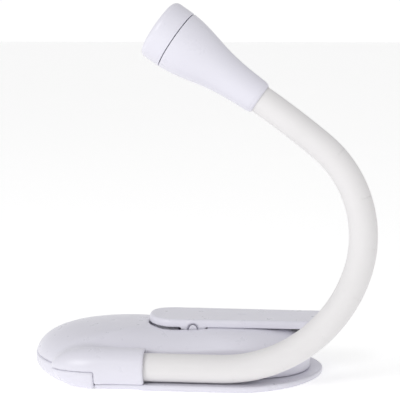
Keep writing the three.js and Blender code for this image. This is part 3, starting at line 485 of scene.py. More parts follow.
class Outline:
    """The plan of the base between two tips, with its own half width on each side."""

    def __init__(self, near, far=FAR_HALF, right=HALF_LENGTH):
        left_reach, right_reach, power = 28.0, 30.0, 1.8
        turn = np.linspace(0.0, np.pi / 2, 160)
        x = np.concatenate([
            right - right_reach * (1 - np.cos(turn)),
            np.linspace(right - right_reach, -HALF_LENGTH + left_reach, 80)[1:-1],
            (-HALF_LENGTH + left_reach * (1 - np.cos(turn)))[::-1],
        ])
        from_right = np.clip((x - (right - right_reach)) / right_reach, 0.0, 1.0)
        from_left = np.clip((-HALF_LENGTH + left_reach - x) / left_reach, 0.0, 1.0)
        share = (1 - np.maximum(from_right, from_left) ** power) ** (1 / power)
        near_half = near(x) if callable(near) else np.full(len(x), near)
        plan_x = np.concatenate([x, x[1:-1][::-1]])
        plan_y = np.concatenate([far * share, (-near_half * share)[1:-1][::-1]])
        angle = np.arctan2(plan_y, plan_x)
        order = np.argsort(angle)
        self.angle = angle[order]
        self.radius = np.hypot(plan_x, plan_y)[order]

    def share(self, p):
        angle = np.arctan2(p[:, 1], p[:, 0])
        radius = np.interp(angle, self.angle, self.radius, period=2 * np.pi)
        return np.hypot(p[:, 0], p[:, 1]) / radius, angle, radius

    def side(self, p):
        """The distance to the upright wall on this outline."""
        def rule(q):
            share, _, radius = self.share(q)
            return (share - 1.0) * radius
        return true_distance(rule, p)


def core_near(x):
    """The crown's near half width: narrow beside the neck, and full at the left end."""
    return CORE_NEAR + (NEAR_HALF - CORE_NEAR) * smoothstep((-28.0 - x) / 18.0)


core_outline = Outline(core_near, right=HALF_LENGTH - RIGHT_RIM + CROWN_PAST_RIM)
plate_outline = Outline(NEAR_HALF)


# %% The crown and what joins it
def roll_power(angle, radius):
    along = (radius * np.cos(angle) / HALF_LENGTH) ** 2
    across = (radius * np.sin(angle) / NEAR_HALF) ** 2
    ends = np.where(np.cos(angle) > 0, 9.0, 5.0)
    sides = np.where(np.sin(angle) < 0, 2.64, 1.7)
    return (ends * along + sides * across) / (along + across + 1e-9)


def crown_rule(outline, shoulder, top, power=None):
    def rule(q):
        share, angle, radius = outline.share(q)
        over = np.maximum(q[:, 2] - shoulder, 0.0) / (top - shoulder)
        return share ** (power or roll_power(angle, radius)) + over ** 2 - 1.0
    return rule


def barrel_rule(q):
    """The socket's barrel: a round bar that ends in half an ellipsoid on the left."""
    past = np.minimum(q[:, 0] - BARREL_LEFT, 0.0) / BARREL_CAP
    r = np.hypot(q[:, 1] - NECK_Y, q[:, 2] - NECK_Z) / BARREL_R
    return np.sqrt(past ** 2 + r ** 2 + 1e-12) - 1.0


def wall_rule(q):
    """The wall beside the neck: straight, and then round the right end."""
    u = np.maximum(q[:, 0] - WALL_BEND, 0.0) / WALL_REACH
    v = np.abs(q[:, 1]) / np.where(q[:, 1] < 0, NEAR_HALF - 2 * NECK_R, FAR_HALF + 4.0)
    return (u ** WALL_POWER + v ** WALL_POWER) ** (1 / WALL_POWER) - 1.0


def outside_of_top(p):
    """Crown, barrel and the shoulder that fills in under the barrel, without any openings."""
    crown = true_distance(crown_rule(core_outline, SHOULDER, TOP), p)
    barrel = np.maximum(true_distance(barrel_rule, p), p[:, 0] - SOCKET_X)
    shoulder = true_distance(crown_rule(plate_outline, SHOULDER, 10.0, 6.0), p)
    shoulder = np.maximum(shoulder, p[:, 0] - SOCKET_X)
    # a fillet swells two skins that coincide, so this one fades out at the left end, where they do
    joined = round_min(crown, shoulder, 1.0 * smoothstep((p[:, 0] + 46.0) / 12.0))
    whole = round_min(barrel, joined, 1.2 + 2.4 * smoothstep((-16.0 - p[:, 0]) / 16.0))
    beside = np.minimum(p[:, 0] - SOCKET_X, true_distance(wall_rule, p))
    return whole, beside


# %% Top housing
def clip_well(p):
    well = block(p, (PIVOT[0] - 5.1, -11.0, PIVOT[1] - 3.7), (PIVOT[0] + 5.1, 11.0, None))
    fall = np.clip((PIVOT[0] - p[:, 0]) / 17.0, 0.0, 1.05)
    floor_at = TOP - 0.2 - 3.1 * fall
    pocket = np.max([clip_side(p) - POCKET_CLEAR, floor_at - p[:, 2], p[:, 0] - PIVOT[0]], axis=0)
    return np.minimum(well, pocket)


def top_housing_field(p):
    whole, beside = outside_of_top(p)
    shell = round_max(whole, beside, 0.45)
    inner = np.maximum(whole + WALL, beside + WALL)
    solid = np.minimum(block(p, (-13.0, -12.8, 12.6), (13.0, 12.8, None)),
                       np.maximum(rod(p, (0, NECK_Y, NECK_Z), 0, BARREL_R), -22.6 - p[:, 0]))
    for x, y in SCREW_PLACES:
        solid = np.minimum(solid, rod(p, (x, y, 0), 2, 2.6))
    for x0, x1, y0, y1, z0 in ((11.0, 12.4, -13.0, 18.0, 7.7), (-42.9, -41.5, -11.0, 16.0, 7.6)):
        solid = np.minimum(solid, block(p, (x0, y0, z0), (x1, y1, None)))
    hollow = np.maximum(inner, -solid)
    for x, y in SCREW_PLACES:
        hollow = np.minimum(hollow, np.maximum(rod(p, (x, y, 0), 2, 1.15), p[:, 2] - 10.0))
    bore = np.maximum(rod(p, (0, NECK_Y, NECK_Z), 0, NECK_R + 0.35), -20.1 - p[:, 0])
    over_cover = np.minimum(COVER_SEAM + SEAM - p[:, 0], COVER_TOP + 2 * SEAM - p[:, 2])
    floor_cut = np.maximum(PLATE + 2 * SEAM - p[:, 2], over_cover)
    slot = block(p, (16.8, FAR_HALF - 6.0, 6.0), (27.2, None, 9.2))
    body = round_max(shell, -bore, 0.5)
    body = round_max(body, -clip_well(p), POCKET_EDGE)
    body = round_max(body, floor_cut, SEAM_EDGE)
    body = round_max(body, -slot, 0.3)
    body = np.maximum(body, -hollow)
    # lugs that carry the clip's pin
    eye = np.minimum(rod(p, (PIVOT[0], 0, PIVOT[1]), 1, 1.9),
                     block(p, (PIVOT[0] - 1.9, None, 12.0), (PIVOT[0] + 1.9, None, PIVOT[1])))
    lug = np.maximum(eye, np.abs(np.abs(p[:, 1]) - 7.2) - 0.9)
    lug = np.maximum(lug, -rod(p, (PIVOT[0], 0, PIVOT[1]), 1, PIN_HOLE_R))
    return np.minimum(body, np.maximum(lug, 12.8 - p[:, 2]))



# %% [markdown]
# ## The clip
# The clip is a shallow tray turned upside down, with a rounded thumb end on the left and two ears that
# reach down to the pin. Its outline is another table of angle and radius, centred half way along it.

# %% Clip outline
CLIP_LEFT, CLIP_RIGHT = -10.7, 57.0
CLIP_HALF = 10.6
CLIP_MIDDLE = (CLIP_LEFT + CLIP_RIGHT) / 2
CLIP_THICK = 2.9


def clip_half_at(x):
    return CLIP_HALF - np.clip((x - PIVOT[0]) / (CLIP_RIGHT - PIVOT[0]), 0.0, 1.0)


def clip_table():
    round_end = np.linspace(0.0, np.pi / 2, 60)
    thumb_x = CLIP_LEFT + 9.5 * (1 - np.cos(round_end))
    thumb_y = CLIP_HALF * np.sin(round_end) ** 0.85
    corner_y = clip_half_at(CLIP_RIGHT) - 5.0 + 5.0 * np.sin(round_end)
    corner_x = CLIP_RIGHT - 5.0 + 5.0 * np.cos(round_end)
    side_x = np.linspace(corner_x[-1], thumb_x[-1], 80)[1:-1]
    end_y = np.linspace(0.0, corner_y[0], 20)[:-1]
    x = np.concatenate([np.full(19, CLIP_RIGHT), corner_x, side_x, thumb_x[::-1]])
    y = np.concatenate([end_y, corner_y, clip_half_at(side_x), thumb_y[::-1]])
    x = np.concatenate([x, x[1:-1][::-1]])
    y = np.concatenate([y, -y[1:-1][::-1]])
    angle = np.arctan2(y, x - CLIP_MIDDLE)
    order = np.argsort(angle)
    return angle[order], np.hypot(x - CLIP_MIDDLE, y)[order]


CLIP_ANGLE, CLIP_RADIUS = clip_table()


def clip_side(p):
    """The distance to the clip's upright side."""
    def rule(q):
        x = q[:, 0] - CLIP_MIDDLE
        radius = np.interp(np.arctan2(q[:, 1], x), CLIP_ANGLE, CLIP_RADIUS, period=2 * np.pi)
        return np.hypot(x, q[:, 1]) - radius
    return true_distance(rule, p)


# %% Clip lever
def clip_field(p):
    lift = 0.6 * np.clip((-1.0 - p[:, 0]) / 9.7, 0.0, 1.1) ** 2
    z = p[:, 2] - lift
    side = clip_side(p)
    body = round_max(round_max(side, z - TOP - CLIP_THICK, 1.3), TOP - z, 0.3)
    under = round_max(side + 1.5, z - (TOP + CLIP_THICK - 1.2), 0.5)
    grip = np.max([side + 1.4, z - (TOP + CLIP_THICK - 1.0), TOP + 0.2 - z, 37.0 - p[:, 0]], axis=0)
    body = np.minimum(np.maximum(body, -under), grip)
    across = np.abs(np.abs(p[:, 1]) - 9.45) - 1.0
    ear = np.minimum(rod(p, (PIVOT[0], 0, PIVOT[1]), 1, 3.2),
                     block(p, (PIVOT[0] - 4.5, None, PIVOT[1] - 0.4), (PIVOT[0] + 4.5, None, TOP + 1.5)))
    ear = round_max(ear, across, 0.3)
    body = round_min(body, ear, 0.5)
    hole = rod(p, (PIVOT[0], 0, PIVOT[1]), 1, PIN_HOLE_R)
    recess = np.maximum(rod(p, (PIVOT[0], 0, PIVOT[1]), 1, 2.1), 9.55 - np.abs(p[:, 1]))
    return np.maximum(body, -np.minimum(np.maximum(hole, 7.0 - np.abs(p[:, 1])), recess))


clip_low, clip_high = (np.array(c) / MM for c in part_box("clip_lever"))
clip_lever = moulding("clip_arm", clip_field, clip_low, clip_high, 0.42)
settle_on(clip_lever, "clip", gloss_white, "gloss_white_abs", "clip_lever")

# %% Top housing, meshed
top_low, top_high = (np.array(c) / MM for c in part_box("top_housing"))
top_shell = moulding("base_top", top_housing_field, top_low, top_high, 0.62)
settle_on(top_shell, "base", gloss_white, "gloss_white_abs", "top_housing")


# %% [markdown]
# ## The lower mouldings
# The base plate is the plan raised by its thickness. The battery cover is the lowest part of the top
# housing's own outside, so that the two are flush along their seam. Both have the same lower edge, which
# is nearly sharp on the right and well rounded at the left end and under the socket.


# %% Lower mouldings
def lower_edge(p, side):
    """Closes an upright side below with an edge that is long and low at the left end."""
    left = smoothstep((-28.0 - p[:, 0]) / 20.0)
    under_socket = np.where(p[:, 1] < 0, 1.6 * smoothstep((SOCKET_X - p[:, 0]) / 3.0), 0.0)
    up = 0.4 + np.maximum(3.8 * left, under_socket)
    across = 0.4 + np.maximum(6.5 * left, under_socket)
    return round_max(side * up / across, -p[:, 2], up)


def cell_door(p, clear):
    return block(p, (COVER_SEAM - 3.0, -18.0 - clear, None), (-4.0 + clear, 20.0 + clear, 1.2 + clear))


def plate_field(p):
    whole = lower_edge(p, plate_outline.side(p))
    rim = np.where(p[:, 0] < SOCKET_X, SEAM_EDGE, 0.3)
    plate = round_max(round_max(whole, p[:, 2] - PLATE, rim), COVER_SEAM + SEAM - p[:, 0], SEAM_EDGE)
    plate = round_max(plate, -cell_door(p, GAP), 0.15)
    plate = np.maximum(plate, -block(p, (COVER_SEAM - 3.0, -16.4, None), (-6.0, 18.4, None)))
    plate = np.maximum(plate, -block(p, (-6.1, -16.4, 1.2), (8.0, 18.4, None)))
    core = np.maximum(core_outline.side(p), true_distance(wall_rule, p))
    lip = np.max([np.abs(core + 2.7) - 0.6, p[:, 2] - 4.2, 1.5 - p[:, 2], 6.0 - p[:, 0]], axis=0)
    plate = np.minimum(plate, lip)
    for x, y in SCREW_PLACES:
        plate = np.maximum(plate, -np.maximum(rod(p, (x, y, 0), 2, 2.9), PLATE - p[:, 2]))
        plate = round_max(plate, -np.maximum(rod(p, (x, y, 0), 2, 2.3), p[:, 2] - 0.9), 0.15)
        plate = np.maximum(plate, -rod(p, (x, y, 0), 2, 1.3))
    return plate


def cover_field(p):
    whole = lower_edge(p, outside_of_top(p)[0])
    side = plate_outline.side(p)
    shell = round_max(whole, p[:, 2] - COVER_TOP, SEAM_EDGE)
    shell = round_max(shell, p[:, 0] - COVER_SEAM + SEAM, SEAM_EDGE)
    thicker = 3.0 * smoothstep((-28.0 - p[:, 0]) / 20.0)
    shell = np.maximum(shell, -np.maximum(side + WALL + thicker, 1.2 - p[:, 2]))
    tongue = round_max(cell_door(p, 0.0), -p[:, 2], 0.2)
    return np.minimum(shell, np.maximum(tongue, COVER_SEAM - 2.0 - p[:, 0]))


plate_low, plate_high = (np.array(c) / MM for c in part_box("bottom_housing"))
base_plate = moulding("base_plate", plate_field, plate_low, plate_high, 0.52)
settle_on(base_plate, "base", gloss_white, "gloss_white_abs", "bottom_housing")
cover_low, cover_high = (np.array(c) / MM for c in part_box("battery_cover"))
cover_low = np.minimum(cover_low, top_low - (0.0, 0.0, PLATE + GAP))
cover = moulding("battery_lid", cover_field, cover_low, cover_high, 0.5)
settle_on(cover, "battery_cover", gloss_white, "gloss_white_abs", "battery_cover")

# %% [markdown]
# ## The neck
# The neck's centre line is a straight piece and three arcs, in a plane that leans back a little. A sleeve
# follows it, which is just what Geometry Nodes' Curve to Mesh does. The sleeve is made in ten lengths,
# one round each joint.

# %% The neck's centre line, in millimetres
NECK_STRAIGHT = 26.7
NECK_ARCS = [(49.6, 73.2), (41.1, 67.6), (325.0, 4.6)]  # radius, sweep in degrees
NECK_LENGTH = NECK_STRAIGHT + sum(r * math.radians(sweep) for r, sweep in NECK_ARCS)
LEAN = math.radians(4.0)


def neck_at(distance):
    """Place and direction on the centre line, a distance from the socket's face."""
    x = SOCKET_X + min(distance, NECK_STRAIGHT)
    h = angle = 0.0
    left = distance - NECK_STRAIGHT
    for r, sweep in NECK_ARCS:
        if left <= 0:
            break
        turn = min(left / r, math.radians(sweep))
        x += r * (math.sin(angle + turn) - math.sin(angle))
        h += r * (math.cos(angle) - math.cos(angle + turn))
        angle += turn
        left -= r * turn
    if left > 0:
        x += left * math.cos(angle)
        h += left * math.sin(angle)
    s, c = math.sin(LEAN), math.cos(LEAN)
    place = Vector((x, NECK_Y + s * h, NECK_Z + c * h))
    return place, Vector((math.cos(angle), s * math.sin(angle), c * math.sin(angle)))


HEAD_AT, HEAD_AXIS = neck_at(NECK_LENGTH)
print("neck:", round(NECK_LENGTH, 1), "mm, head at", [round(v, 1) for v in HEAD_AT])


# %% Geometry Nodes helpers
def new_tree(name, inputs):
    """A geometry tree with named inputs; returns the tree, its input node and its output node."""
    tree = bpy.data.node_groups.new(name, "GeometryNodeTree")
    tree.interface.new_socket("Geometry", in_out="INPUT", socket_type="NodeSocketGeometry")
    for label, kind in inputs:
        tree.interface.new_socket(label, in_out="INPUT", socket_type=kind)
    tree.interface.new_socket("Geometry", in_out="OUTPUT", socket_type="NodeSocketGeometry")
    return tree, tree.nodes.new("NodeGroupInput"), tree.nodes.new("NodeGroupOutput")


def tree_node(tree, kind, links=None, **values):
    """A node, with sockets set from values and from (socket, output) links."""
    node = tree.nodes.new(kind)
    for key, value in values.items():
        if hasattr(node, key):
            setattr(node, key, value)
        else:
            node.inputs[key.replace("_", " ")].default_value = value
    for key, output in (links or {}).items():
        tree.links.new(output, node.inputs[key])
    return node


def grow(name, tree, source, settings):
    """Runs a geometry tree on a source mesh and returns the result as a plain object."""
    carrier = bpy.data.objects.new(name + "_carrier", source)
    scene.collection.objects.link(carrier)
    modifier = carrier.modifiers.new("tree", "NODES")
    modifier.node_group = tree
    for item in tree.interface.items_tree:
        if item.in_out == "INPUT" and item.name in settings:
            modifier[item.identifier] = settings[item.name]
    bpy.context.view_layer.update()
    evaluated = carrier.evaluated_get(bpy.context.evaluated_depsgraph_get())
    mesh = bpy.data.meshes.new_from_object(evaluated)
    bpy.data.objects.remove(carrier)
    mesh.name = name
    piece = bpy.data.objects.new(name, mesh)
    scene.collection.objects.link(piece)
    print(name, len(mesh.vertices), "points", len(mesh.polygons), "faces")
    return piece


def path_mesh(name, points):
    mesh = bpy.data.meshes.new(name)
    edges = [(i, i + 1) for i in range(len(points) - 1)]
    mesh.from_pydata([tuple(Vector(p) * MM) for p in points], edges, [])
    return mesh


# %% Tree: a sleeve or wire along a path
def build_sweep_tree():
    tree, start, end = new_tree("sweep", [
        ("Radius", "NodeSocketFloat"), ("Sides", "NodeSocketInt"), ("Caps", "NodeSocketBool"),
        ("Material", "NodeSocketMaterial"),
    ])
    curve = tree_node(tree, "GeometryNodeMeshToCurve", {"Mesh": start.outputs["Geometry"]})
    section = tree_node(tree, "GeometryNodeCurvePrimitiveCircle",
                        {"Resolution": start.outputs["Sides"], "Radius": start.outputs["Radius"]})
    skin = tree_node(tree, "GeometryNodeCurveToMesh", {
        "Curve": curve.outputs["Curve"], "Profile Curve": section.outputs["Curve"],
        "Fill Caps": start.outputs["Caps"]})
    smooth = tree_node(tree, "GeometryNodeSetShadeSmooth", {"Geometry": skin.outputs["Mesh"]})
    real = tree_node(tree, "GeometryNodeRealizeInstances", {"Geometry": smooth.outputs["Geometry"]})
    paint = tree_node(tree, "GeometryNodeSetMaterial", {
        "Geometry": real.outputs["Geometry"], "Material": start.outputs["Material"]})
    tree.links.new(paint.outputs["Geometry"], end.inputs["Geometry"])
    return tree


sweep_tree = build_sweep_tree()
print("sweep tree:", len(sweep_tree.nodes), "nodes")


# %% [markdown]
# The swept skin is open at both ends. A Solidify modifier gives it its wall, from the outside inwards,
# and closes the rims. The edge of each rim is marked sharp, so that two lengths shade as one where they
# meet.


# %% Neck sleeve
SLEEVE_WALL = 3.1
BEND_REACH = 6.2
JOINTS = sorted((j for j in frame["joints"] if j["name"].startswith("neck_")),
                key=lambda j: int(j["name"].split("_")[1]))
FIRST_JOINT = 6.0
JOINT_PITCH = (NECK_LENGTH - FIRST_JOINT - 7.0) / (len(JOINTS) - 1)
joint_at = [FIRST_JOINT + JOINT_PITCH * i for i in range(len(JOINTS))]
meet_at = [-10.5] + [(a + b) / 2 for a, b in zip(joint_at, joint_at[1:])] + [NECK_LENGTH + 4.8]


def solidify(piece, wall):
    modifier = piece.modifiers.new("wall", "SOLIDIFY")
    modifier.thickness = wall * MM
    modifier.offset = -1.0
    bpy.context.view_layer.update()
    evaluated = piece.evaluated_get(bpy.context.evaluated_depsgraph_get())
    mesh = bpy.data.meshes.new_from_object(evaluated)
    piece.modifiers.clear()
    old = piece.data
    piece.data = mesh
    mesh.name = old.name
    bpy.data.meshes.remove(old)


def sharpen(mesh, limit):
    """Marks edges sharp where two faces meet at more than the limit, in degrees."""
    work = bmesh.new()
    work.from_mesh(mesh)
    for face in work.faces:
        face.smooth = True
    for edge in work.edges:
        if len(edge.link_faces) == 2 and edge.calc_face_angle() > math.radians(limit):
            edge.smooth = False
    work.to_mesh(mesh)
    work.free()


for i, joint in enumerate(JOINTS):
    span = np.linspace(meet_at[i], meet_at[i + 1], 30)
    sleeve = grow(f"sleeve_{i}", sweep_tree, path_mesh(f"sleeve_path_{i}", [neck_at(d)[0] for d in span]),
                  {"Radius": NECK_R * MM, "Sides": 64, "Caps": False, "Material": soft_white})
    work = bmesh.new()
    work.from_mesh(sleeve.data)
    middle = neck_at(float(span[15]))[0] * MM
    nearest = min(work.faces, key=lambda f: (f.calc_center_median() - middle).length)
    if nearest.normal.dot(nearest.calc_center_median() - middle) < 0:
        bmesh.ops.reverse_faces(work, faces=work.faces)
    work.to_mesh(sleeve.data)
    work.free()
    solidify(sleeve, SLEEVE_WALL)
    sharpen(sleeve.data, 50.0)
    nodes = [f"neck_sleeve_{i}"] + (["neck_sleeve_10"] if i == len(JOINTS) - 1 else [])
    settle_on(sleeve, None, soft_white, "soft_white_silicone", *nodes)
    neck_at(joint_at[i] - BEND_REACH)[0] * MM
    neck_at(joint_at[i] + BEND_REACH)[0] * MM
    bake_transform(sleeve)

# %% [markdown]
# ## Turned pieces
# The head, its front ring, the lens, the reflector and the pin are all round about one axis, so each is a
# profile spun about it. Profiles are written as distance along the axis and radius. A smooth profile is
# drawn through a few points with a spline first.


# %% Turning
def smooth_profile(points, steps=6):
    """A Catmull-Rom curve through points of distance and radius."""
    p = np.array([points[0]] + list(points) + [points[-1]], float)
    p[0] = 2 * p[1] - p[2]
    p[-1] = 2 * p[-2] - p[-3]
    out = []
    for i in range(1, len(p) - 2):
        for t in np.arange(steps) / steps:
            a, b, c, d = p[i - 1:i + 3]
            out.append(0.5 * (2 * b + (c - a) * t + (2 * a - 5 * b + 4 * c - d) * t ** 2
                              + (3 * b - a - 3 * c + d) * t ** 3))
    return [tuple(v) for v in out] + [tuple(points[-1])]


def corner_round(centre, radius, start, stop, steps=8):
    """Points on an arc, as distance and radius, from one angle to another in degrees."""
    angles = np.radians(np.linspace(start, stop, steps))
    return [(centre[0] + radius * math.cos(a), centre[1] + radius * math.sin(a)) for a in angles]


def turned(name, profile, at, axis, sides=96, limit=35.0):
    """Spins a closed profile about an axis. Points on the axis become one pole."""
    axis = Vector(axis).normalized()
    spin = axis.to_track_quat("Z", "Y").to_matrix()
    points, rings = [], []
    for along, r in profile:
        if r < 1e-6:
            rings.append([len(points)] * sides)
            points.append(tuple(Vector(at) + axis * along))
            continue
        rings.append(list(range(len(points), len(points) + sides)))
        for k in range(sides):
            a = 2 * math.pi * k / sides
            points.append(tuple(Vector(at) + spin @ Vector((r * math.cos(a), r * math.sin(a), along))))
    faces = []
    closed = profile[0][1] > 1e-6
    for n in range(len(rings) if closed else len(rings) - 1):
        low, high = rings[n], rings[(n + 1) % len(rings)]
        for k in range(sides):
            loop = [low[k], low[(k + 1) % sides], high[(k + 1) % sides], high[k]]
            face = list(dict.fromkeys(loop))
            if len(face) > 2:
                faces.append(face)
    piece = mesh_object(name, points, faces)
    work = bmesh.new()
    work.from_mesh(piece.data)
    bmesh.ops.recalc_face_normals(work, faces=work.faces)
    work.to_mesh(piece.data)
    work.free()
    sharpen(piece.data, limit)
    return piece


# %% Head shell and front ring
HEAD_SEAM = 35.7
HEAD_LENGTH = 43.8
SEAM_R = 10.85
RING_R = 10.95
LENS_R = 8.6
head_outside = smooth_profile([(1.35, 5.86), (2.4, 6.08), (8.0, 6.38), (14.0, 6.98), (19.5, 7.92),
                               (25.0, 9.2), (30.5, 10.35), (34.9, 10.88)], 8)
head_inside = smooth_profile([(13.0, 5.3), (19.5, 6.5), (25.0, 7.8), (30.5, 8.95), (36.6, 8.5)], 6)
shell_profile = (
    [(0.25, 5.32)]
    + corner_round((1.25, 4.9), 0.95, 165.0, 97.0, 8)
    + head_outside
    + corner_round((HEAD_SEAM - 0.4, SEAM_R - 0.2), 0.25, 80.0, 0.0, 5)
    + [(HEAD_SEAM - 0.15, 9.3), (HEAD_SEAM + 1.2, 9.3), (HEAD_SEAM + 1.3, 9.1)]
    + head_inside[::-1]
    + [(12.2, 5.0), (12.2, 3.2), (5.4, 3.2), (5.4, 5.32), (1.0, 5.32)]
)
head_shell = turned("head_body", shell_profile, HEAD_AT, HEAD_AXIS, 128)
settle_on(head_shell, "head", gloss_white, "gloss_white_abs", "head_shell")
ring_profile = (
    [(HEAD_SEAM + 0.15, 9.5), (HEAD_SEAM + 0.15, RING_R - 0.3)]
    + corner_round((HEAD_SEAM + 0.4, RING_R - 0.25), 0.25, 180.0, 90.0, 5)
    + corner_round((HEAD_LENGTH - 2.2, RING_R - 2.2), 2.2, 90.0, 8.0, 12)
    + corner_round((HEAD_LENGTH - 0.45, LENS_R + 0.2), 0.45, 0.0, -90.0, 6)
    + [(HEAD_LENGTH - 1.2, LENS_R - 0.3), (HEAD_LENGTH - 1.2, LENS_R + 0.3)]
    + [(HEAD_LENGTH - 3.2, LENS_R + 0.3), (HEAD_LENGTH - 3.2, 9.5)]
)
front_ring = turned("head_ring", ring_profile, HEAD_AT, HEAD_AXIS, 128)
settle_on(front_ring, "head", gloss_white, "gloss_white_abs", "head_bezel")

# %% Lens, reflector and LED
LENS_BACK = HEAD_LENGTH - 3.0
lens_profile = ([(LENS_BACK, 0.0), (LENS_BACK, LENS_R), (LENS_BACK + 1.5, LENS_R)]
                + [(LENS_BACK + 1.5 + 0.75 * math.cos(t), 7.4 * math.sin(t))
                   for t in np.linspace(math.pi / 2, 0.0, 14)[:-1]] + [(LENS_BACK + 2.25, 0.0)])
lens = turned("lens", lens_profile, HEAD_AT, HEAD_AXIS, 96)
settle_on(lens, "head", lens_clear, "clear_lens", "head_lens")
BOARD_AT = 26.0
bowl_back, bowl_front = BOARD_AT + 1.5, LENS_BACK - 0.3
shares = np.linspace(0.0, 1.0, 16)
bowl = [(bowl_back + (bowl_front - bowl_back) * t, 2.4 + 5.4 * math.sqrt(t)) for t in shares]
bowl_profile = bowl + [(a, r + 0.6) for a, r in reversed(bowl)]
reflector = turned("reflector", bowl_profile, HEAD_AT, HEAD_AXIS, 96)
settle_on(reflector, "head", mirror_bowl, "bright_reflector", "head_reflector")
dome = [(BOARD_AT + 1.3, 0.0), (BOARD_AT + 1.3, 1.7), (BOARD_AT + 2.1, 1.7)]
quarter = np.linspace(0.0, math.pi / 2, 9)[:-1]
dome += [(BOARD_AT + 2.1 + 1.4 * math.sin(t), 1.5 * math.cos(t)) for t in quarter]
led = turned("led_dome", dome + [(BOARD_AT + 3.5, 0.0)], HEAD_AT, HEAD_AXIS, 48)
settle_on(led, "head", phosphor, "led_package", "led")

# %% Clip pin
PIN_HALF = CLIP_HALF - 0.25
pin_profile = [(-PIN_HALF, 0.0), (-PIN_HALF, 0.9)]
pin_profile += corner_round((-PIN_HALF + 0.3, 1.15), 0.3, 180.0, 90.0, 6)
pin_profile += [(-PIN_HALF + 0.5, 1.45), (-PIN_HALF + 0.5, 1.1)]
pin_profile += [(PIN_HALF - 0.15, 1.1), (PIN_HALF, 0.95), (PIN_HALF, 0.0)]
pin = turned("clip_axle", pin_profile, (PIVOT[0], 0.0, PIVOT[1]), (0, 1, 0), 48)
settle_on(pin, "base", gloss_white, "gloss_white_abs", "clip_pin")

# %% [markdown]
# ## What repeats
# Screws and springs are the same few shapes again and again. The screw is turned once and instanced on
# points, and each spring is a helix that Curve to Mesh gives its wire.


# %% Screws
def screw_master():
    profile = [(0.12, 0.0), (0.12, 1.5)] + corner_round((0.45, 1.65), 0.33, 180.0, 90.0, 6)
    profile += [(0.6, 1.98), (0.6, 1.0)]
    z = 0.9
    while z < 8.0:
        profile += [(z, 0.82), (z + 0.22, 1.0), (z + 0.34, 1.0), (z + 0.55, 0.82)]
        z += 0.7
    profile += [(8.4, 0.7), (9.0, 0.0)]
    return turned("screw_master", profile, (0, 0, 0), (0, 0, 1), 32, 30.0)


def cut_cross(piece):
    """Sinks a cross recess into the screw's head."""
    work = bmesh.new()
    for turn in (0.0, math.pi / 2):
        place = Matrix.Rotation(turn + 0.4, 4, "Z") @ Matrix.Translation((0, 0, 0.12 * MM))
        size = Matrix.Diagonal((2.3 * MM, 0.5 * MM, 0.7 * MM, 1))
        bmesh.ops.create_cube(work, size=1.0, matrix=place @ size)
    cross_mesh = bpy.data.meshes.new("cross")
    work.to_mesh(cross_mesh)
    work.free()
    cross = bpy.data.objects.new("cross", cross_mesh)
    scene.collection.objects.link(cross)
    modifier = piece.modifiers.new("cross", "BOOLEAN")
    modifier.object = cross
    modifier.operation = "DIFFERENCE"
    modifier.solver = "EXACT"
    modifier.use_self = True
    bpy.context.view_layer.update()
    mesh = bpy.data.meshes.new_from_object(piece.evaluated_get(bpy.context.evaluated_depsgraph_get()))
    piece.modifiers.clear()
    piece.data = mesh
    bpy.data.objects.remove(cross)


def build_screw_tree():
    tree, start, end = new_tree("screws", [("Screw", "NodeSocketObject"), ("Material", "NodeSocketMaterial")])
    info = tree_node(tree, "GeometryNodeObjectInfo", {"Object": start.outputs["Screw"]})
    points = tree_node(tree, "GeometryNodeMeshToPoints", {"Mesh": start.outputs["Geometry"]})
    turn = tree_node(tree, "FunctionNodeRandomValue", data_type="FLOAT_VECTOR")
    turn.inputs[1].default_value = (0.0, 0.0, 6.28)
    turn.inputs["Seed"].default_value = 4
    place = tree_node(tree, "GeometryNodeInstanceOnPoints", {
        "Points": points.outputs["Points"], "Instance": info.outputs["Geometry"],
        "Rotation": turn.outputs[0]})
    real = tree_node(tree, "GeometryNodeRealizeInstances", {"Geometry": place.outputs["Instances"]})
    paint = tree_node(tree, "GeometryNodeSetMaterial", {
        "Geometry": real.outputs["Geometry"], "Material": start.outputs["Material"]})
    tree.links.new(paint.outputs["Geometry"], end.inputs["Geometry"])
    return tree


master = screw_master()
cut_cross(master)
screw_points = bpy.data.meshes.new("screw_points")
screw_points.from_pydata([(x * MM, y * MM, 0.0) for x, y in SCREW_PLACES], [], [])
screws = grow("housing_screws", build_screw_tree(), screw_points, {"Screw": master, "Material": plated_steel})
bpy.data.objects.remove(master)
settle_on(screws, "base", plated_steel, "plated_steel", *[f"housing_screw_{i + 1}" for i in range(4)])


# %% Springs
def helix(turns, length, r0, r1, start, steps_per_turn=28):
    """Points of a helix about X that starts at a place, from one radius to another."""
    count = int(turns * steps_per_turn)
    for n in range(count + 1):
        t = n / count
        a = t * turns * 2 * math.pi
        r = r0 + (r1 - r0) * t
        yield Vector(start) + Vector((length * t, r * math.cos(a), r * math.sin(a)))


def spring(name, points, r, body, node, material, slot):
    piece = grow(name, sweep_tree, path_mesh(name + "_path", list(points)),
                 {"Radius": r * MM, "Sides": 10, "Caps": True, "Material": material})
    work = bmesh.new()
    work.from_mesh(piece.data)
    bmesh.ops.recalc_face_normals(work, faces=work.faces)
    work.to_mesh(piece.data)
    work.free()
    sharpen(piece.data, 50.0)
    return settle_on(piece, body, material, slot, node)


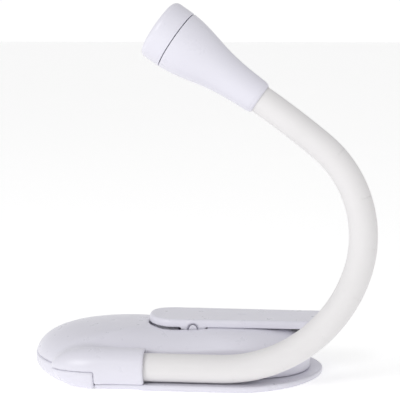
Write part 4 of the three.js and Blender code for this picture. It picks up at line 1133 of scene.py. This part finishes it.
for i in range(3):
    low, high = (np.array(c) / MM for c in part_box(f"contact_spring_{i + 1}"))
    middle_y = (low[1] + high[1]) / 2
    middle_z = (low[2] + high[2]) / 2
    wide, narrow = (3.2, 1.9) if i % 2 == 0 else (1.9, 3.2)
    coil = helix(3.0, high[0] - low[0] - 0.6, wide, narrow, (low[0] + 0.3, middle_y, middle_z))
    spring(f"cell_spring_{i + 1}", coil,
           0.3, "base", f"contact_spring_{i + 1}", nickel, "nickel_plate")

coil_points = [Vector((PIVOT[0] - 4.2, -4.1, 14.2))]
for n in range(0, 141):
    a = -math.pi / 2 - 2 * math.pi * 5 * n / 140
    x, z = PIVOT[0] + 1.75 * math.cos(a), PIVOT[1] + 1.75 * math.sin(a)
    coil_points.append(Vector((x, -4.0 + 8.0 * n / 140, z)))
coil_points.append(Vector((PIVOT[0] - 4.2, 4.1, PIVOT[1] - 1.95)))
spring("clip_spring", coil_points, 0.3, "base", "torsion_spring", wire_steel, "steel_wire")

# %% [markdown]
# ## The pieces that stay
# Small parts inside the base and the head keep their CAD shapes, and only take a finish.

# %% CAD nodes that keep their shape
KEPT = {
    "switch_knob": gloss_white, "switch_body": plated_steel, "circuit_board": green_board,
    "current_resistor": resistor_body, "clip_grip_pad": black_rubber, "led_board": green_board,
    "head_bush": nickel, "neck_socket_bush": nickel, "lead_positive": red_lead,
    "head_lead_positive": red_lead, "head_lead_negative": black_lead,
    "contact_plate_negative": nickel, "contact_plate_positive": nickel,
    "contact_link_left": nickel, "contact_link_right": nickel,
    "cell_1": cell_jacket, "cell_2": cell_jacket, "cell_3": cell_jacket,
}
KEPT.update({f"neck_core_{i}": wire_steel for i in range(11)})
for node, material in KEPT.items():
    kept = frame["nodes"][node]
    kept.data.materials.clear()
    kept.data.materials.append(material)
print(len(KEPT), "CAD nodes keep their shape")

# %% Floor finish
floor_material = finish("pale_floor", ((0.93, 0.93, 0.93), (0.92, 0.92, 0.92)), (0.7, 0.8),
                        drift=3.0, grain=200.0, Emission_Color=(1.0, 1.0, 1.0, 1.0), Emission_Strength=0.36)
floor.data.materials.append(floor_material)

# %% [markdown]
# ## Sizes
# The CAD model's box, measured before any finished piece was added, is kept as low and high. The
# finished lamp has to stay inside the CAD model's box.

# %% Sizes and finish
low, high = cad_bounds
